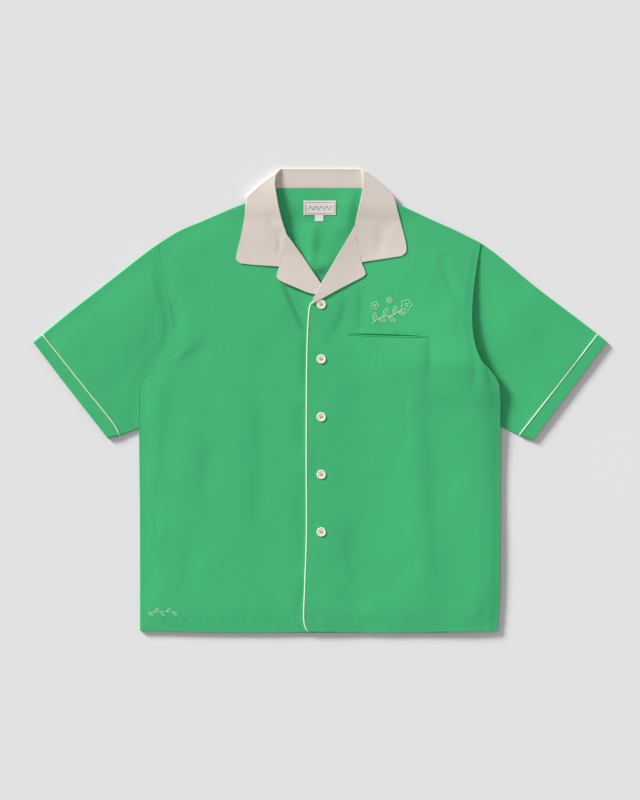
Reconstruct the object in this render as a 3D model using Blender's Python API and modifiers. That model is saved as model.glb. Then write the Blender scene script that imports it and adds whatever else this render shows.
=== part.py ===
"""A short-sleeved bowling shirt, buttoned and laid flat with its front up, in metres.

The row frame has its origin on the surface that the shirt lies on, under the middle of its
outline: +X to the viewer's right (the wearer's left), +Y towards the collar and +Z up.
Sides in names are the wearer's. Every panel is a grid over a patch between four edges in plan,
lifted to its own height over what it lies on, and made a wall of cloth. Sleeves and their bands
are tubes pressed flat, with a wall all round.
"""

import math
from collections import namedtuple

import bmesh
import bpy
import numpy as np

# Driving sizes
CLOTH = 0.0012  # wall of one layer of cloth
GAP = 0.0003  # between two pieces
FACET = 0.0002  # more room where two faceted sheets lie on each other
LAYER = CLOTH + GAP + FACET  # one sheet lying on another
PUFF = 0.0019  # how far the fronts stand off the back
EDGE_ROLL = 0.007  # width over which a folded or sewn edge rounds down
OVERHANG = 0.0035  # how far a front stands out over its sleeve seam
SLEEVE_SEAM = 0.0019  # from the back's armhole to the sleeve, wide enough for both curves
SLEEVE_HEIGHT = 0.0048  # top of a sleeve above the surface
SLEEVE_FLAT_HEIGHT = 2 * CLOTH + GAP  # the same at the armhole, where the body lies on it
CORD_RADIUS = 0.0013  # piping
SLEEVE_CORD_RADIUS = 0.0012
CORD_SLOT = SLEEVE_CORD_RADIUS + GAP + FACET  # from the cord's middle to the cloth on each side
SLEEVE_CORD_PROUD = 0.0008  # how far it stands up over the sleeve
ROLL_HEIGHT = 0.0032  # how far the collar's roll stands up beside the neck
PLACKET_EDGE = 0.0256  # edge of the front underneath, hidden by the one that laps over
SLOPE = 1.08  # a wall that slopes is this much thicker, measured straight up

# Where sheets rise over what is under them
FALL_RISE_FROM = 0.034  # the back starts to rise this far below the collar's fall
FALL_RISE_LENGTH = 0.028
FALL_HALF_WIDTH = 0.1225
FALL_RISE_SIDE = 0.050
ARMHOLE_LIFT = OVERHANG + 0.004  # a front is lifted this far in from its sleeve seam
ARMHOLE_LIFT_FADE = 0.010
NECK_MIDDLE_Y = 0.33
NECK_CALM = 0.11  # the fronts lie flatter within this distance of the neck's middle
NECK_CALM_FADE = 0.06
NECK_PUFF_SHARE = 0.15
LAP_FROM = PLACKET_EDGE + 0.002
LAP_FADE = 0.034
SLEEVE_FLAT_WIDTH = 0.012
SLEEVE_RISE_LENGTH = 0.022
SLEEVE_INSET_BELOW = 0.030  # the back's edge starts to draw in this far below the armhole
SLEEVE_INSET_LENGTH = 0.022

# Seams and rows of the panels
BREAK_INSET = 0.0048  # from a lapel's break to the edge of the front inside it
NECK_CLEARANCE = 0.0012
EDGE_STEPS = (0.0, 0.0020, 0.0070)  # rows close to an edge that rounds down
FOLD_STEPS = (0.0, 0.0006, 0.0018, 0.0050, 0.0160)  # rows close to a pressed fold
HEM_CORNER_SHARE = 0.06  # share of the front's cord that turns round the hem's corner
BACK_SPAN = 0.60
FRONT_RIGHT_WIDTH = 0.31
FRONT_RIGHT_LENGTH = 0.68
FRONT_LEFT_WIDTH = 0.29
FRONT_LEFT_LENGTH = 0.70
SLEEVE_WIDTH = 0.26
CUFF_LENGTH = 0.195

# A pressed fold of a tube: its rounding, and how far in from it the inner wall turns
FOLD_SMALLEST = 0.0014
FOLD_LARGEST = 0.0026
FOLD_WALL_SHARE = 0.75
FOLD_TURN = 0.012

# Plan points, each line from the hem upwards or from the neck outwards
Point = namedtuple("Point", "x y")

SIDE_RIGHT = [
    Point(-0.2883, -0.3684), Point(-0.2883, -0.2000), Point(-0.2896, -0.0600),
    Point(-0.2904, -0.0020), Point(-0.2886, 0.0290), Point(-0.2747, 0.0465),
    Point(-0.2600, 0.0636), Point(-0.2453, 0.0865), Point(-0.2375, 0.1164),
    Point(-0.2392, 0.1400), Point(-0.2496, 0.1836), Point(-0.2570, 0.2220),
    Point(-0.2592, 0.2510),
]
SIDE_LEFT = [
    Point(0.2840, -0.3684), Point(0.2872, -0.3200), Point(0.2880, -0.2550),
    Point(0.2888, -0.0404), Point(0.2883, 0.0100), Point(0.2850, 0.0300),
    Point(0.2720, 0.0492), Point(0.2587, 0.0640), Point(0.2480, 0.0924),
    Point(0.2437, 0.1292), Point(0.2456, 0.1692), Point(0.2504, 0.2092),
    Point(0.2576, 0.2524),
]
NECK_POINT_RIGHT = Point(-0.0850, 0.3325)
NECK_POINT_LEFT = Point(0.0850, 0.3325)
SHOULDER_RIGHT = [
    NECK_POINT_RIGHT, Point(-0.1152, 0.3180), Point(-0.1472, 0.3052), Point(-0.1920, 0.2860),
    Point(-0.2240, 0.2724), SIDE_RIGHT[-1],
]
SHOULDER_LEFT = [
    NECK_POINT_LEFT, Point(0.1152, 0.3184), Point(0.1456, 0.3052), Point(0.1872, 0.2860),
    Point(0.2160, 0.2732), SIDE_LEFT[-1],
]
HEM_MIDDLE = Point(0.0000, -0.3716)
HEM_RIGHT = Point(-0.1400, -0.3712)
HEM_LEFT = Point(0.1400, -0.3712)
BACK_NECK = [
    NECK_POINT_RIGHT, Point(-0.0740, 0.3382), Point(0.0000, 0.3390), Point(0.0740, 0.3382),
    NECK_POINT_LEFT,
]
CORD_LINE = [
    Point(-0.0155, -0.3700), Point(-0.0213, -0.3636), Point(-0.0250, -0.3508),
    Point(-0.0240, -0.2948), Point(-0.0214, -0.2228), Point(-0.0216, -0.0788),
    Point(-0.0206, 0.0764), Point(-0.0191, 0.1167), Point(-0.0176, 0.1400),
    Point(-0.0156, 0.1520),
]
BREAK_LEFT = [
    Point(-0.0105, 0.1650), Point(-0.0080, 0.1692), Point(0.0019, 0.1884),
    Point(0.0224, 0.2229), Point(0.0502, 0.2703), Point(0.0549, 0.2792),
]
BREAK_RIGHT = [
    Point(0.0002, 0.1896), Point(-0.0140, 0.2108), Point(-0.0294, 0.2337),
    Point(-0.0420, 0.2510), Point(-0.0541, 0.2676),
]
NECK_SEAM_RIGHT = [
    Point(-0.0572, 0.2720), Point(-0.0690, 0.2900), Point(-0.0760, 0.3060),
    Point(-0.0830, 0.3220), NECK_POINT_RIGHT,
]
NECK_SEAM_LEFT = [
    Point(0.0588, 0.2820), Point(0.0690, 0.2940), Point(0.0760, 0.3080),
    Point(0.0830, 0.3220), NECK_POINT_LEFT,
]

PLACKET_LINE = [
    Point(PLACKET_EDGE, -0.3700), Point(PLACKET_EDGE, 0.1100), Point(0.0236, 0.1360),
    Point(0.0150, 0.1540), Point(0.0020, 0.1700),
]

# Sleeves: the fold along the top, the lower fold, the seam of the band and its free edge
SLEEVE_RIGHT = {
    "top": [Point(-0.2600, 0.2496), Point(-0.2816, 0.2348), Point(-0.3312, 0.1964),
            Point(-0.3968, 0.1452), Point(-0.4445, 0.1062)],
    "under": [Point(-0.2896, -0.0440), Point(-0.3050, -0.0505), Point(-0.3200, -0.0562)],
    "seam": [Point(-0.4445, 0.1062), Point(-0.3840, 0.0302), Point(-0.3270, -0.0420),
             Point(-0.3200, -0.0562)],
    "edge": [Point(-0.4592, 0.0943), Point(-0.4000, 0.0168), Point(-0.3394, -0.0606)],
}
SLEEVE_LEFT = {
    "top": [Point(0.2582, 0.2508), Point(0.2816, 0.2348), Point(0.3440, 0.1836),
            Point(0.4112, 0.1324), Point(0.4446, 0.1066)],
    "under": [Point(0.2884, -0.0405), Point(0.3035, -0.0480), Point(0.3189, -0.0551)],
    "seam": [Point(0.4446, 0.1066), Point(0.3830, 0.0270), Point(0.3189, -0.0551)],
    "edge": [Point(0.4592, 0.0950), Point(0.4000, 0.0160), Point(0.3403, -0.0630)],
}

# Collar: roll and gorge from the notch up, outer edge from the tip up, the fold over the
# shoulder from the roll outwards, and the seam of the stand from the back neck downwards
COLLAR_RIGHT = {
    "gorge": [Point(-0.0656, 0.2148), Point(-0.0600, 0.2470), Point(-0.0544, 0.2684)],
    "roll": [Point(-0.0544, 0.2684), Point(-0.0571, 0.2760), Point(-0.0648, 0.3041),
             Point(-0.0709, 0.3377), Point(-0.0721, 0.3500), Point(-0.0704, 0.3608)],
    "end": [Point(-0.0656, 0.2148), Point(-0.1152, 0.2183), Point(-0.1275, 0.2199)],
    "outer": [Point(-0.1275, 0.2199), Point(-0.1338, 0.2245), Point(-0.1336, 0.2337),
              Point(-0.1259, 0.2658), Point(-0.1195, 0.3041), Point(-0.1180, 0.3150)],
    "shoulder": [Point(-0.0632, 0.3704), Point(-0.0723, 0.3625), Point(-0.0907, 0.3490),
                 Point(-0.1107, 0.3312), Point(-0.1180, 0.3232)],
    "seam": [Point(-0.0740, 0.3400), Point(-0.0790, 0.3365), Point(-0.0815, 0.3310),
             Point(-0.0800, 0.3220), Point(-0.0740, 0.3060)],
}
COLLAR_LEFT = {
    "gorge": [Point(0.0662, 0.2229), Point(0.0624, 0.2444), Point(0.0576, 0.2626),
              Point(0.0556, 0.2810)],
    "roll": [Point(0.0556, 0.2810), Point(0.0608, 0.3010), Point(0.0655, 0.3230),
             Point(0.0686, 0.3393), Point(0.0692, 0.3520), Point(0.0690, 0.3625)],
    "end": [Point(0.0662, 0.2229), Point(0.1180, 0.2306), Point(0.1300, 0.2326)],
    "outer": [Point(0.1300, 0.2326), Point(0.1374, 0.2382), Point(0.1380, 0.2480),
              Point(0.1298, 0.2826), Point(0.1228, 0.3080), Point(0.1205, 0.3150)],
    "shoulder": [Point(0.0648, 0.3708), Point(0.0778, 0.3642), Point(0.0992, 0.3458),
                 Point(0.1150, 0.3300), Point(0.1205, 0.3232)],
    "seam": [Point(0.0740, 0.3400), Point(0.0790, 0.3365), Point(0.0815, 0.3310),
             Point(0.0800, 0.3220), Point(0.0740, 0.3060)],
}
COLLAR_TOP = 0.3710  # roll of the collar at the back neck
STAND_SEAM = 0.3404
FALL_EDGE = [Point(-0.1130, 0.3170), Point(-0.0800, 0.3190), Point(0.0000, 0.3260),
             Point(0.0800, 0.3190), Point(0.1150, 0.3170)]
FALL_FROM_MIDDLE = [Point(0.0000, 0.3260), Point(0.0800, 0.3190), Point(0.1150, 0.3165)]

# Lapels: lower edge from the break outwards, and outer edge up to the notch
LAPEL_RIGHT = {
    "lower": [Point(-0.0100, 0.1722), Point(-0.0448, 0.1836), Point(-0.0620, 0.1912),
              Point(-0.0672, 0.1945)],
    "outer": [Point(-0.0672, 0.1945), Point(-0.0693, 0.1985), Point(-0.0660, 0.2120)],
}
LAPEL_LEFT = {
    "lower": [Point(-0.0125, 0.1545), Point(0.0226, 0.1740), Point(0.0486, 0.1878),
              Point(0.0680, 0.1977)],
    "outer": [Point(0.0680, 0.1977), Point(0.0728, 0.2030), Point(0.0670, 0.2200)],
}

# Welt pocket and labels
POCKET_SLIT = [Point(0.0430, 0.1072), Point(0.1200, 0.1046), Point(0.1710, 0.1026)]
LIP_WIDTH = 0.0030
SLIT_HALF_WIDTH = 0.0013
SLIT_GAPE = 0.0007  # how much wider each half is in the middle
LIP_STEPS = 11
Box = namedtuple("Box", "left right bottom top")
LABEL_NECK = Box(-0.0261, 0.0254, 0.2973, 0.3202)
LABEL_SIZE = Box(-0.0080, 0.0056, 0.2873, 0.2970)
LABEL_THICKNESS = 0.0010

# Buttons: where they sit, the turned profile from the foot over the rim, and the thread holes
BUTTON_X = 0.0022
BUTTON_YS = (0.1540, 0.0666, -0.0260, -0.1180, -0.2100)
BUTTON_RADIUS = 0.0075
BUTTON_STEPS = 16
Turned = namedtuple("Turned", "radius height")
BUTTON_PROFILE = [
    Turned(0.0000, 0.0000), Turned(0.0062, 0.0000), Turned(BUTTON_RADIUS, 0.0009),
    Turned(BUTTON_RADIUS, 0.0016), Turned(0.0066, 0.0026), Turned(0.0054, 0.0026),
    Turned(0.0044, 0.0017), Turned(0.0000, 0.0017),
]
HOLE_RADIUS = 0.0009
HOLE_OFFSET = 0.0019
HOLE_DEPTH = 0.006
HOLE_SIDES = 6

# Sections of the collar: shares from the stand's seam to the roll, and from there to the edge
STAND_COLUMNS = (1.0, 0.55, 0.22)
BACK_STAND_COLUMNS = (1.0, 0.5, 0.10)
COLLAR_COLUMNS = (0.0, 0.022, 0.07, 0.16, 0.32, 0.52, 0.72, 0.88, 1.0)
BACK_ROWS_X = (-0.040, -0.014, 0.014, 0.040)
GORGE_ROWS = 5
LEAF_ROWS = 9
SHOULDER_FOLD = 0.0026  # rounding of the fold over the shoulder
SHOULDER_SKIP = 2  # points of that fold left out beside the roll
FALL_SKIP = 6  # points of the fall left out beside the roll
FALL_DRAW_IN = 0.0030
SEAM_AT_FOLD = 0.0725
SEAM_IN_FALL = 0.0690
SEAM_SPREAD = 1.1
ROLL_AT_FOLD = 0.0030
ROLL_IN_FALL = 0.0024
ROLL_AT_BACK = 0.0023
FOLD_EDGE = [Point(0.0, 0.0018), Point(0.1, 0.0023), Point(1.0, 0.0027)]  # share and height
FALL_SPREAD = 4.2  # the fall's edge runs wider than the roll, by share of length for each metre
CROWN_TOP = 0.004  # the roll stays full this far out, then sinks
CROWN_FADE = 0.034
CROWN_BACK = 0.0012
CROWN_RISE = 0.0036
CROWN_LOSS = 0.6  # share of the roll's height lost where the collar turns over the shoulder
STAND_REACH = 1.25  # the stand's seam runs out before the roll does
STAND_TURN = 0.22
STAND_LIFTS = (0.0, 0.0004, 0.0007)
LAPEL_CROWN_SHARE = 0.55
LAPEL_FADE = 0.030
LAPEL_EDGE_ROLL = 0.0032
LAPEL_COLUMNS = (0.0, 0.012, 0.04, 0.10, 0.22, 0.40, 0.60, 0.80, 1.0)
LAPEL_ROWS = 13
LAPEL_LOW_RIGHT = 0.0032  # height of a lapel's rounded edge at the break
LAPEL_LOW_LEFT = 0.0053

# The largest folds of the fronts: ridges stand up and troughs (negative heights) go down.
# Each runs from (x0, y0) to (x1, y1), bowed sideways in its middle, with a bell-shaped section.
Fold = namedtuple("Fold", "x0 y0 x1 y1 bow width height")
FRONT_FOLDS = [
    Fold(0.160, 0.060, 0.194, -0.345, 0.006, 0.013, -0.0015),
    Fold(0.138, 0.020, 0.166, -0.330, 0.004, 0.014, 0.0008),
    Fold(0.222, -0.060, 0.226, -0.350, 0.004, 0.017, 0.0008),
    Fold(0.188, 0.222, 0.234, 0.136, -0.006, 0.008, -0.0012),
    Fold(0.204, 0.226, 0.246, 0.150, -0.006, 0.009, 0.0012),
    Fold(0.052, 0.156, 0.008, 0.070, 0.004, 0.010, -0.0010),
    Fold(0.038, -0.180, 0.100, -0.318, -0.014, 0.009, -0.0009),
    Fold(-0.070, 0.190, -0.026, 0.100, 0.003, 0.008, -0.0013),
    Fold(-0.086, 0.180, -0.040, 0.080, 0.003, 0.010, 0.0010),
    Fold(-0.245, -0.020, -0.243, -0.240, 0.003, 0.011, -0.0009),
    Fold(-0.110, -0.010, -0.112, -0.260, 0.004, 0.011, -0.0009),
    Fold(-0.216, -0.020, -0.214, -0.210, 0.003, 0.012, 0.0007),
    Fold(-0.148, 0.010, -0.146, -0.250, 0.003, 0.015, 0.0007),
    Fold(-0.226, -0.262, -0.150, -0.276, 0.004, 0.012, -0.0012),
    Fold(-0.262, 0.056, -0.190, 0.086, 0.002, 0.009, 0.0014),
    Fold(-0.246, 0.096, -0.180, 0.062, 0.004, 0.011, -0.0012),
    Fold(-0.036, 0.075, -0.034, 0.010, 0.003, 0.009, -0.0010),
    Fold(-0.034, -0.020, -0.036, -0.080, 0.003, 0.009, -0.0009),
    Fold(-0.036, -0.200, -0.034, -0.256, 0.003, 0.009, -0.0011),
    Fold(-0.036, -0.300, -0.034, -0.346, 0.002, 0.009, -0.0010),
    Fold(-0.070, -0.130, -0.026, -0.158, 0.002, 0.008, 0.0009),
    Fold(-0.066, -0.294, -0.030, -0.326, 0.002, 0.008, 0.0009),
    Fold(0.262, 0.070, 0.276, 0.010, 0.003, 0.007, -0.0010),
]
SLEEVE_FOLDS = [
    Fold(-0.300, 0.050, -0.340, -0.030, 0.006, 0.010, -0.0012),
    Fold(-0.268, 0.190, -0.330, 0.060, 0.012, 0.012, 0.0008),
    Fold(-0.330, 0.150, -0.390, 0.060, 0.006, 0.014, -0.0008),
    Fold(0.300, 0.050, 0.338, -0.030, -0.006, 0.010, -0.0012),
    Fold(0.276, 0.200, 0.334, 0.070, -0.012, 0.012, 0.0008),
    Fold(0.330, 0.150, 0.392, 0.064, -0.006, 0.014, -0.0008),
]

Finish = namedtuple("Finish", "colour roughness")
FINISHES = {
    "green": Finish((0.058, 0.451, 0.190, 1.0), 0.85),
    "cream": Finish((0.665, 0.604, 0.547, 1.0), 0.85),
    "cord": Finish((0.820, 0.770, 0.610, 1.0), 0.70),
    "tape": Finish((0.740, 0.730, 0.690, 1.0), 0.70),
    "resin": Finish((0.820, 0.770, 0.610, 1.0), 0.35),
}


def clear_scene():
    for obj in list(bpy.data.objects):
        bpy.data.objects.remove(obj, do_unlink=True)


def new_collection(name):
    collection = bpy.data.collections.new(name)
    bpy.context.scene.collection.children.link(collection)
    return collection


def material_for(node, finish):
    """The material of one node, with one of the finishes."""
    colour, roughness = FINISHES[finish]
    material = bpy.data.materials.new(f"{node}_{finish}")
    material.use_nodes = True
    shader = material.node_tree.nodes["Principled BSDF"]
    shader.inputs["Base Color"].default_value = colour
    shader.inputs["Roughness"].default_value = roughness
    shader.inputs["Metallic"].default_value = 0.0
    material.diffuse_color = colour
    return material


def smooth(t):
    """0 below 0 and 1 above 1, with a soft S between them."""
    t = np.clip(t, 0.0, 1.0)
    return t * t * (3.0 - 2.0 * t)


def soft_curve(points, steps=16):
    """A dense line through the points, without corners, that overshoots none of them."""
    p = np.array(points, float)
    spans = np.sqrt(np.linalg.norm(np.diff(p, axis=0), axis=1))
    knots = np.concatenate([[0.0], np.cumsum(spans)])
    slopes = np.diff(p, axis=0) / spans[:, None]
    tangents = np.empty_like(p)
    tangents[0] = slopes[0]
    tangents[-1] = slopes[-1]
    weight = spans[:-1] / (spans[:-1] + spans[1:])
    tangents[1:-1] = slopes[:-1] * (1 - weight)[:, None] + slopes[1:] * weight[:, None]
    line = [p[:1]]
    t = np.linspace(0.0, 1.0, steps + 1)[1:, None]
    for i, span in enumerate(np.diff(knots)):
        line.append(
            (2 * t**3 - 3 * t**2 + 1) * p[i]
            + (t**3 - 2 * t**2 + t) * span * tangents[i]
            + (3 * t**2 - 2 * t**3) * p[i + 1]
            + (t**3 - t**2) * span * tangents[i + 1]
        )
    return np.concatenate(line)


def along(line, fractions):
    """Points at fractions of the line's length."""
    lengths = np.concatenate([[0.0], np.cumsum(np.linalg.norm(np.diff(line, axis=0), axis=1))])
    at = np.asarray(fractions) * lengths[-1]
    return np.stack([np.interp(at, lengths, line[:, k]) for k in range(line.shape[1])], axis=-1)


def distance_to(line, x, y):
    """Distance in plan from each point to the line."""
    start = line[:-1]
    step = np.diff(line, axis=0)
    dx = x[..., None] - start[:, 0]
    dy = y[..., None] - start[:, 1]
    t = np.clip((dx * step[:, 0] + dy * step[:, 1]) / (step**2).sum(axis=1), 0.0, 1.0)
    return np.hypot(dx - t * step[:, 0], dy - t * step[:, 1]).min(axis=-1)


def moved_in(line, amount, centre):
    """The line moved sideways by amount, towards the side that the centre is on."""
    step = np.gradient(line, axis=0)
    normal = np.stack([-step[:, 1], step[:, 0]], axis=1)
    normal /= np.linalg.norm(normal, axis=1)[:, None]
    side = np.sign(((np.array(centre) - line) * normal).sum(axis=1))
    return line + normal * (side * amount)[:, None]


def patch(bottom, top, first, last, across, up):
    """Plan points filling four edges: bottom and top run across, first and last run up."""
    u = np.asarray(across)[None, :, None]
    v = np.asarray(up)[:, None, None]
    low = along(bottom, across)[None]
    high = along(top, across)[None]
    near = along(first, up)[:, None]
    far = along(last, up)[:, None]
    corners = (
        (1 - u) * (1 - v) * low[:, :1] + u * (1 - v) * low[:, -1:]
        + (1 - u) * v * high[:, :1] + u * v * high[:, -1:]
    )
    return (1 - v) * low + v * high + (1 - u) * near + u * far - corners


def spread(count, ends, length):
    """Fractions from 0 to 1: the given distances in from both ends, and even steps between."""
    near = [end / length for end in ends]
    inner = np.linspace(near[-1], 1 - near[-1], count + 1)
    return np.concatenate([near[:-1], inner, [1 - end for end in reversed(near[:-1])]])


def fold_height(folds, x, y):
    """Sum of the folds at the points: a bell across each, fading out towards its ends."""
    height = np.zeros_like(x)
    for fold in folds:
        run = np.array([fold.x1 - fold.x0, fold.y1 - fold.y0])
        length = np.hypot(*run)
        run /= length
        t = ((x - fold.x0) * run[0] + (y - fold.y0) * run[1]) / length
        inside = np.clip(t, 0.0, 1.0)
        off = (y - fold.y0) * run[0] - (x - fold.x0) * run[1] - fold.bow * 4 * inside * (1 - inside)
        beyond = (t - inside) * length
        bell = np.exp(-(off**2 + beyond**2) / fold.width**2)
        height += fold.height * bell * np.sin(np.pi * np.clip(t, 0.0, 1.0)) ** 0.6
    return height


RIM_RIGHT = soft_curve(SIDE_RIGHT)
RIM_LEFT = soft_curve(SIDE_LEFT)
ARMHOLE_RIGHT = RIM_RIGHT[RIM_RIGHT[:, 1] > SLEEVE_RIGHT["under"][0].y]
ARMHOLE_LEFT = RIM_LEFT[RIM_LEFT[:, 1] > SLEEVE_LEFT["under"][0].y]
TOP_RIGHT = soft_curve(SHOULDER_RIGHT)
TOP_LEFT = soft_curve(SHOULDER_LEFT)
HEM = soft_curve([SIDE_RIGHT[0], HEM_MIDDLE, SIDE_LEFT[0]])
FALL_LINE = soft_curve(FALL_EDGE)


def back_z(x, y):
    """Underside of the back: on the surface, and raised over the collar's fall behind the neck."""
    edge = np.interp(np.abs(x), *zip(*FALL_FROM_MIDDLE))
    rise = smooth((y - edge + FALL_RISE_FROM) / FALL_RISE_LENGTH)
    rise = rise * (1 - smooth((np.abs(x) - FALL_HALF_WIDTH) / FALL_RISE_SIDE))
    return (CLOTH + GAP) * rise


def front_z(x, y):
    """Underside of the fronts where they lie on the back and on the sleeves' inner ends."""
    rim = np.minimum(distance_to(RIM_RIGHT, x, y), distance_to(RIM_LEFT, x, y))
    rim = np.minimum(rim, distance_to(HEM, x, y))
    rim = np.minimum(rim, np.minimum(distance_to(TOP_RIGHT, x, y), distance_to(TOP_LEFT, x, y)))
    armhole = np.minimum(distance_to(ARMHOLE_RIGHT, x, y), distance_to(ARMHOLE_LEFT, x, y))
    lift = LAYER * (1 - smooth((armhole - ARMHOLE_LIFT) / ARMHOLE_LIFT_FADE))
    round_down = np.sqrt(1 - (1 - np.clip(rim / EDGE_ROLL, 0.0, 1.0)) ** 2)
    calm = smooth((np.hypot(x, y - NECK_MIDDLE_Y) - NECK_CALM) / NECK_CALM_FADE)
    puff = PUFF * (NECK_PUFF_SHARE + (1 - NECK_PUFF_SHARE) * calm)
    soft = (puff + fold_height(FRONT_FOLDS, x, y) * calm) * round_down
    return back_z(x, y) + LAYER + lift + np.maximum(soft, 0.0)


def lap_z(x, y):
    """Underside of the front that laps over: the same, raised along the one underneath."""
    return front_z(x, y) + (LAYER + FACET) * (1 - smooth((x - LAP_FROM) / LAP_FADE))


def sleeve_top(x, y, armhole, flat_height):
    """Outer height of a sleeve: pressed flat at the armhole and soft beyond it."""
    off = distance_to(armhole, x, y)
    rise = smooth((off - SLEEVE_FLAT_WIDTH) / SLEEVE_RISE_LENGTH)
    folds = fold_height(SLEEVE_FOLDS, x, y)
    return flat_height + (SLEEVE_HEIGHT - flat_height + folds) * rise


def grid_object(name, points, material, offset, thickness=CLOTH, closed=False, left_out=()):
    """A sheet through a grid of points (rows, columns, xyz), made a wall by Solidify.

    offset 1 builds the wall on the upper side and 0 on both. A closed grid has no thickness to
    add: its last row and column meet its first ones. left_out holds (row, column) of cells
    that the sheet doesn't have.
    """
    rows, columns = points.shape[:2]
    mesh = bmesh.new()
    bmesh.ops.create_grid(mesh, x_segments=columns - 1, y_segments=rows - 1, size=0.5)
    place = {}
    for vert in mesh.verts:
        column = round((vert.co.x + 0.5) * (columns - 1))
        row = round((vert.co.y + 0.5) * (rows - 1))
        place[vert] = (row, column)
    cells = {}
    for face in mesh.faces:
        cells[min(place[vert] for vert in face.verts)] = face
    for vert, (row, column) in place.items():
        vert.co = points[row, column]
    if left_out:
        gone = [cells[cell] for cell in left_out]
        bmesh.ops.delete(mesh, geom=gone, context="FACES")
    if closed:
        bmesh.ops.remove_doubles(mesh, verts=mesh.verts, dist=1e-6)
    mesh.normal_update()
    highest = max(mesh.faces, key=lambda face: face.calc_center_median().z)
    if highest.normal.z < 0:
        bmesh.ops.reverse_faces(mesh, faces=mesh.faces)
    data = bpy.data.meshes.new(name)
    mesh.to_mesh(data)
    mesh.free()
    data.shade_smooth()
    obj = bpy.data.objects.new(name, data)
    if thickness:
        wall = obj.modifiers.new("Wall", "SOLIDIFY")
        wall.thickness = thickness
        wall.offset = offset
        wall.use_even_offset = offset == 1
        wall.use_quality_normals = True
    data.materials.append(material)
    PARTS.objects.link(obj)
    return obj


def with_heights(plan, heights):
    return np.concatenate([plan, heights[..., None]], axis=-1)


def make_back(material):
    """One panel under everything, its armholes set in from the edges of the fronts."""
    sides = []
    for rim, armhole in ((RIM_RIGHT, ARMHOLE_RIGHT), (RIM_LEFT, ARMHOLE_LEFT)):
        moved = moved_in(rim, 1.0, (0.0, -0.1)) - rim
        drawn = smooth((rim[:, 1] - armhole[0, 1] + SLEEVE_INSET_BELOW) / SLEEVE_INSET_LENGTH)
        sides.append(rim + moved * OVERHANG * drawn[:, None])
    top = np.concatenate([TOP_RIGHT[::-1], soft_curve(BACK_NECK)[1:-1], TOP_LEFT])
    top[0] = sides[0][-1]
    top[-1] = sides[1][-1]
    up = np.concatenate([np.linspace(0.0, 0.93, 20), (0.955, 0.973, 0.988, 1.0)])
    across = spread(12, (0.0, 0.012), BACK_SPAN)
    plan = patch(HEM, top, sides[0], sides[1], across, up)
    return grid_object("back", with_heights(plan, back_z(plan[..., 0], plan[..., 1])), material, 1)


def make_front_left(material):
    """The front that laps over: its edge along the cord, the lapel's break and the neck seam."""
    cord = moved_in(soft_curve(CORD_LINE), CORD_RADIUS + GAP + 2 * FACET, (0.15, 0.0))
    lapel = moved_in(soft_curve(BREAK_LEFT), BREAK_INSET, (0.15, 0.15))
    inner = np.concatenate([cord, lapel, soft_curve(NECK_SEAM_LEFT) + (NECK_CLEARANCE, 0.0)])
    inner[-1] = TOP_LEFT[0]
    hem = soft_curve([inner[0], HEM_LEFT, SIDE_LEFT[0]])
    across = spread(17, EDGE_STEPS, FRONT_LEFT_WIDTH)
    up = spread(25, (0.0, 0.0030, 0.0070, 0.0160), FRONT_LEFT_LENGTH)
    plan = patch(hem, TOP_LEFT, inner, RIM_LEFT, across, up)
    return grid_object(
        "front_left", with_heights(plan, lap_z(plan[..., 0], plan[..., 1])), material, 1)


def make_front_right(material):
    """The front underneath: its edge is straight and hidden, up to the lapel's break."""
    edge = soft_curve(PLACKET_LINE)
    lapel = moved_in(soft_curve(BREAK_RIGHT), BREAK_INSET, (-0.15, 0.15))
    inner = np.concatenate([edge, lapel, soft_curve(NECK_SEAM_RIGHT) - (NECK_CLEARANCE, 0.0)])
    inner[-1] = TOP_RIGHT[0]
    hem = soft_curve([inner[0], HEM_RIGHT, SIDE_RIGHT[0]])
    across = spread(17, EDGE_STEPS, FRONT_RIGHT_WIDTH)
    up = spread(26, EDGE_STEPS, FRONT_RIGHT_LENGTH)
    plan = patch(hem, TOP_RIGHT, inner, RIM_RIGHT, across, up)
    return grid_object(
        "front_right", with_heights(plan, front_z(plan[..., 0], plan[..., 1])), material, 1)


def flat_ring(plan, heights, wall):
    """Rows of rings: over the top from fold to fold and back underneath, wall inside the cloth."""
    first = plan[:, :1]
    last = plan[:, -1:]
    width = np.linalg.norm(last - first, axis=2)
    across = (last - first) / width[..., None]
    run = ((plan - first) * across).sum(axis=2)
    off = np.minimum(run, width - run)
    inward = np.where(run < width / 2, 1.0, -1.0) * np.clip(1 - off / FOLD_TURN, 0.0, 1.0)
    plan = plan + across * (inward * wall)[..., None]
    fold = np.clip(heights / 2, FOLD_SMALLEST, FOLD_LARGEST) - wall * FOLD_WALL_SHARE
    bend = np.sqrt(np.clip(1 - (1 - np.clip(off / fold, 0.0, 1.0)) ** 2, 0.0, 1.0))
    middle = heights[:, [0, -1]].mean(axis=1)[:, None] / 2
    over = middle + (heights - wall - middle) * bend
    under = middle + (wall - middle) * bend
    ring_top = with_heights(plan, over)
    ring_bottom = with_heights(plan, under)[:, ::-1]
    return np.concatenate([ring_top, ring_bottom[:, 1:]], axis=1)


def flat_tube(name, plan, heights, material):
    """A tube pressed flat, its wall closed at both ends: outside to the end, and back inside."""
    outside = flat_ring(plan, heights, 0.0)
    inside = flat_ring(plan, heights, CLOTH)
    rows = np.concatenate([outside, inside[::-1], outside[:1]])
    return grid_object(name, rows, material, 0, thickness=0.0, closed=True)


def sleeve_lines(shape, armhole, centre):
    """The four edges of a sleeve in plan, the armhole set under the front's edge."""
    inner = moved_in(armhole, OVERHANG - SLEEVE_SEAM, centre)[::-1]
    top = soft_curve(shape["top"])
    under = soft_curve(shape["under"])
    seam = soft_curve(shape["seam"])
    return inner, top, under, seam


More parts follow.
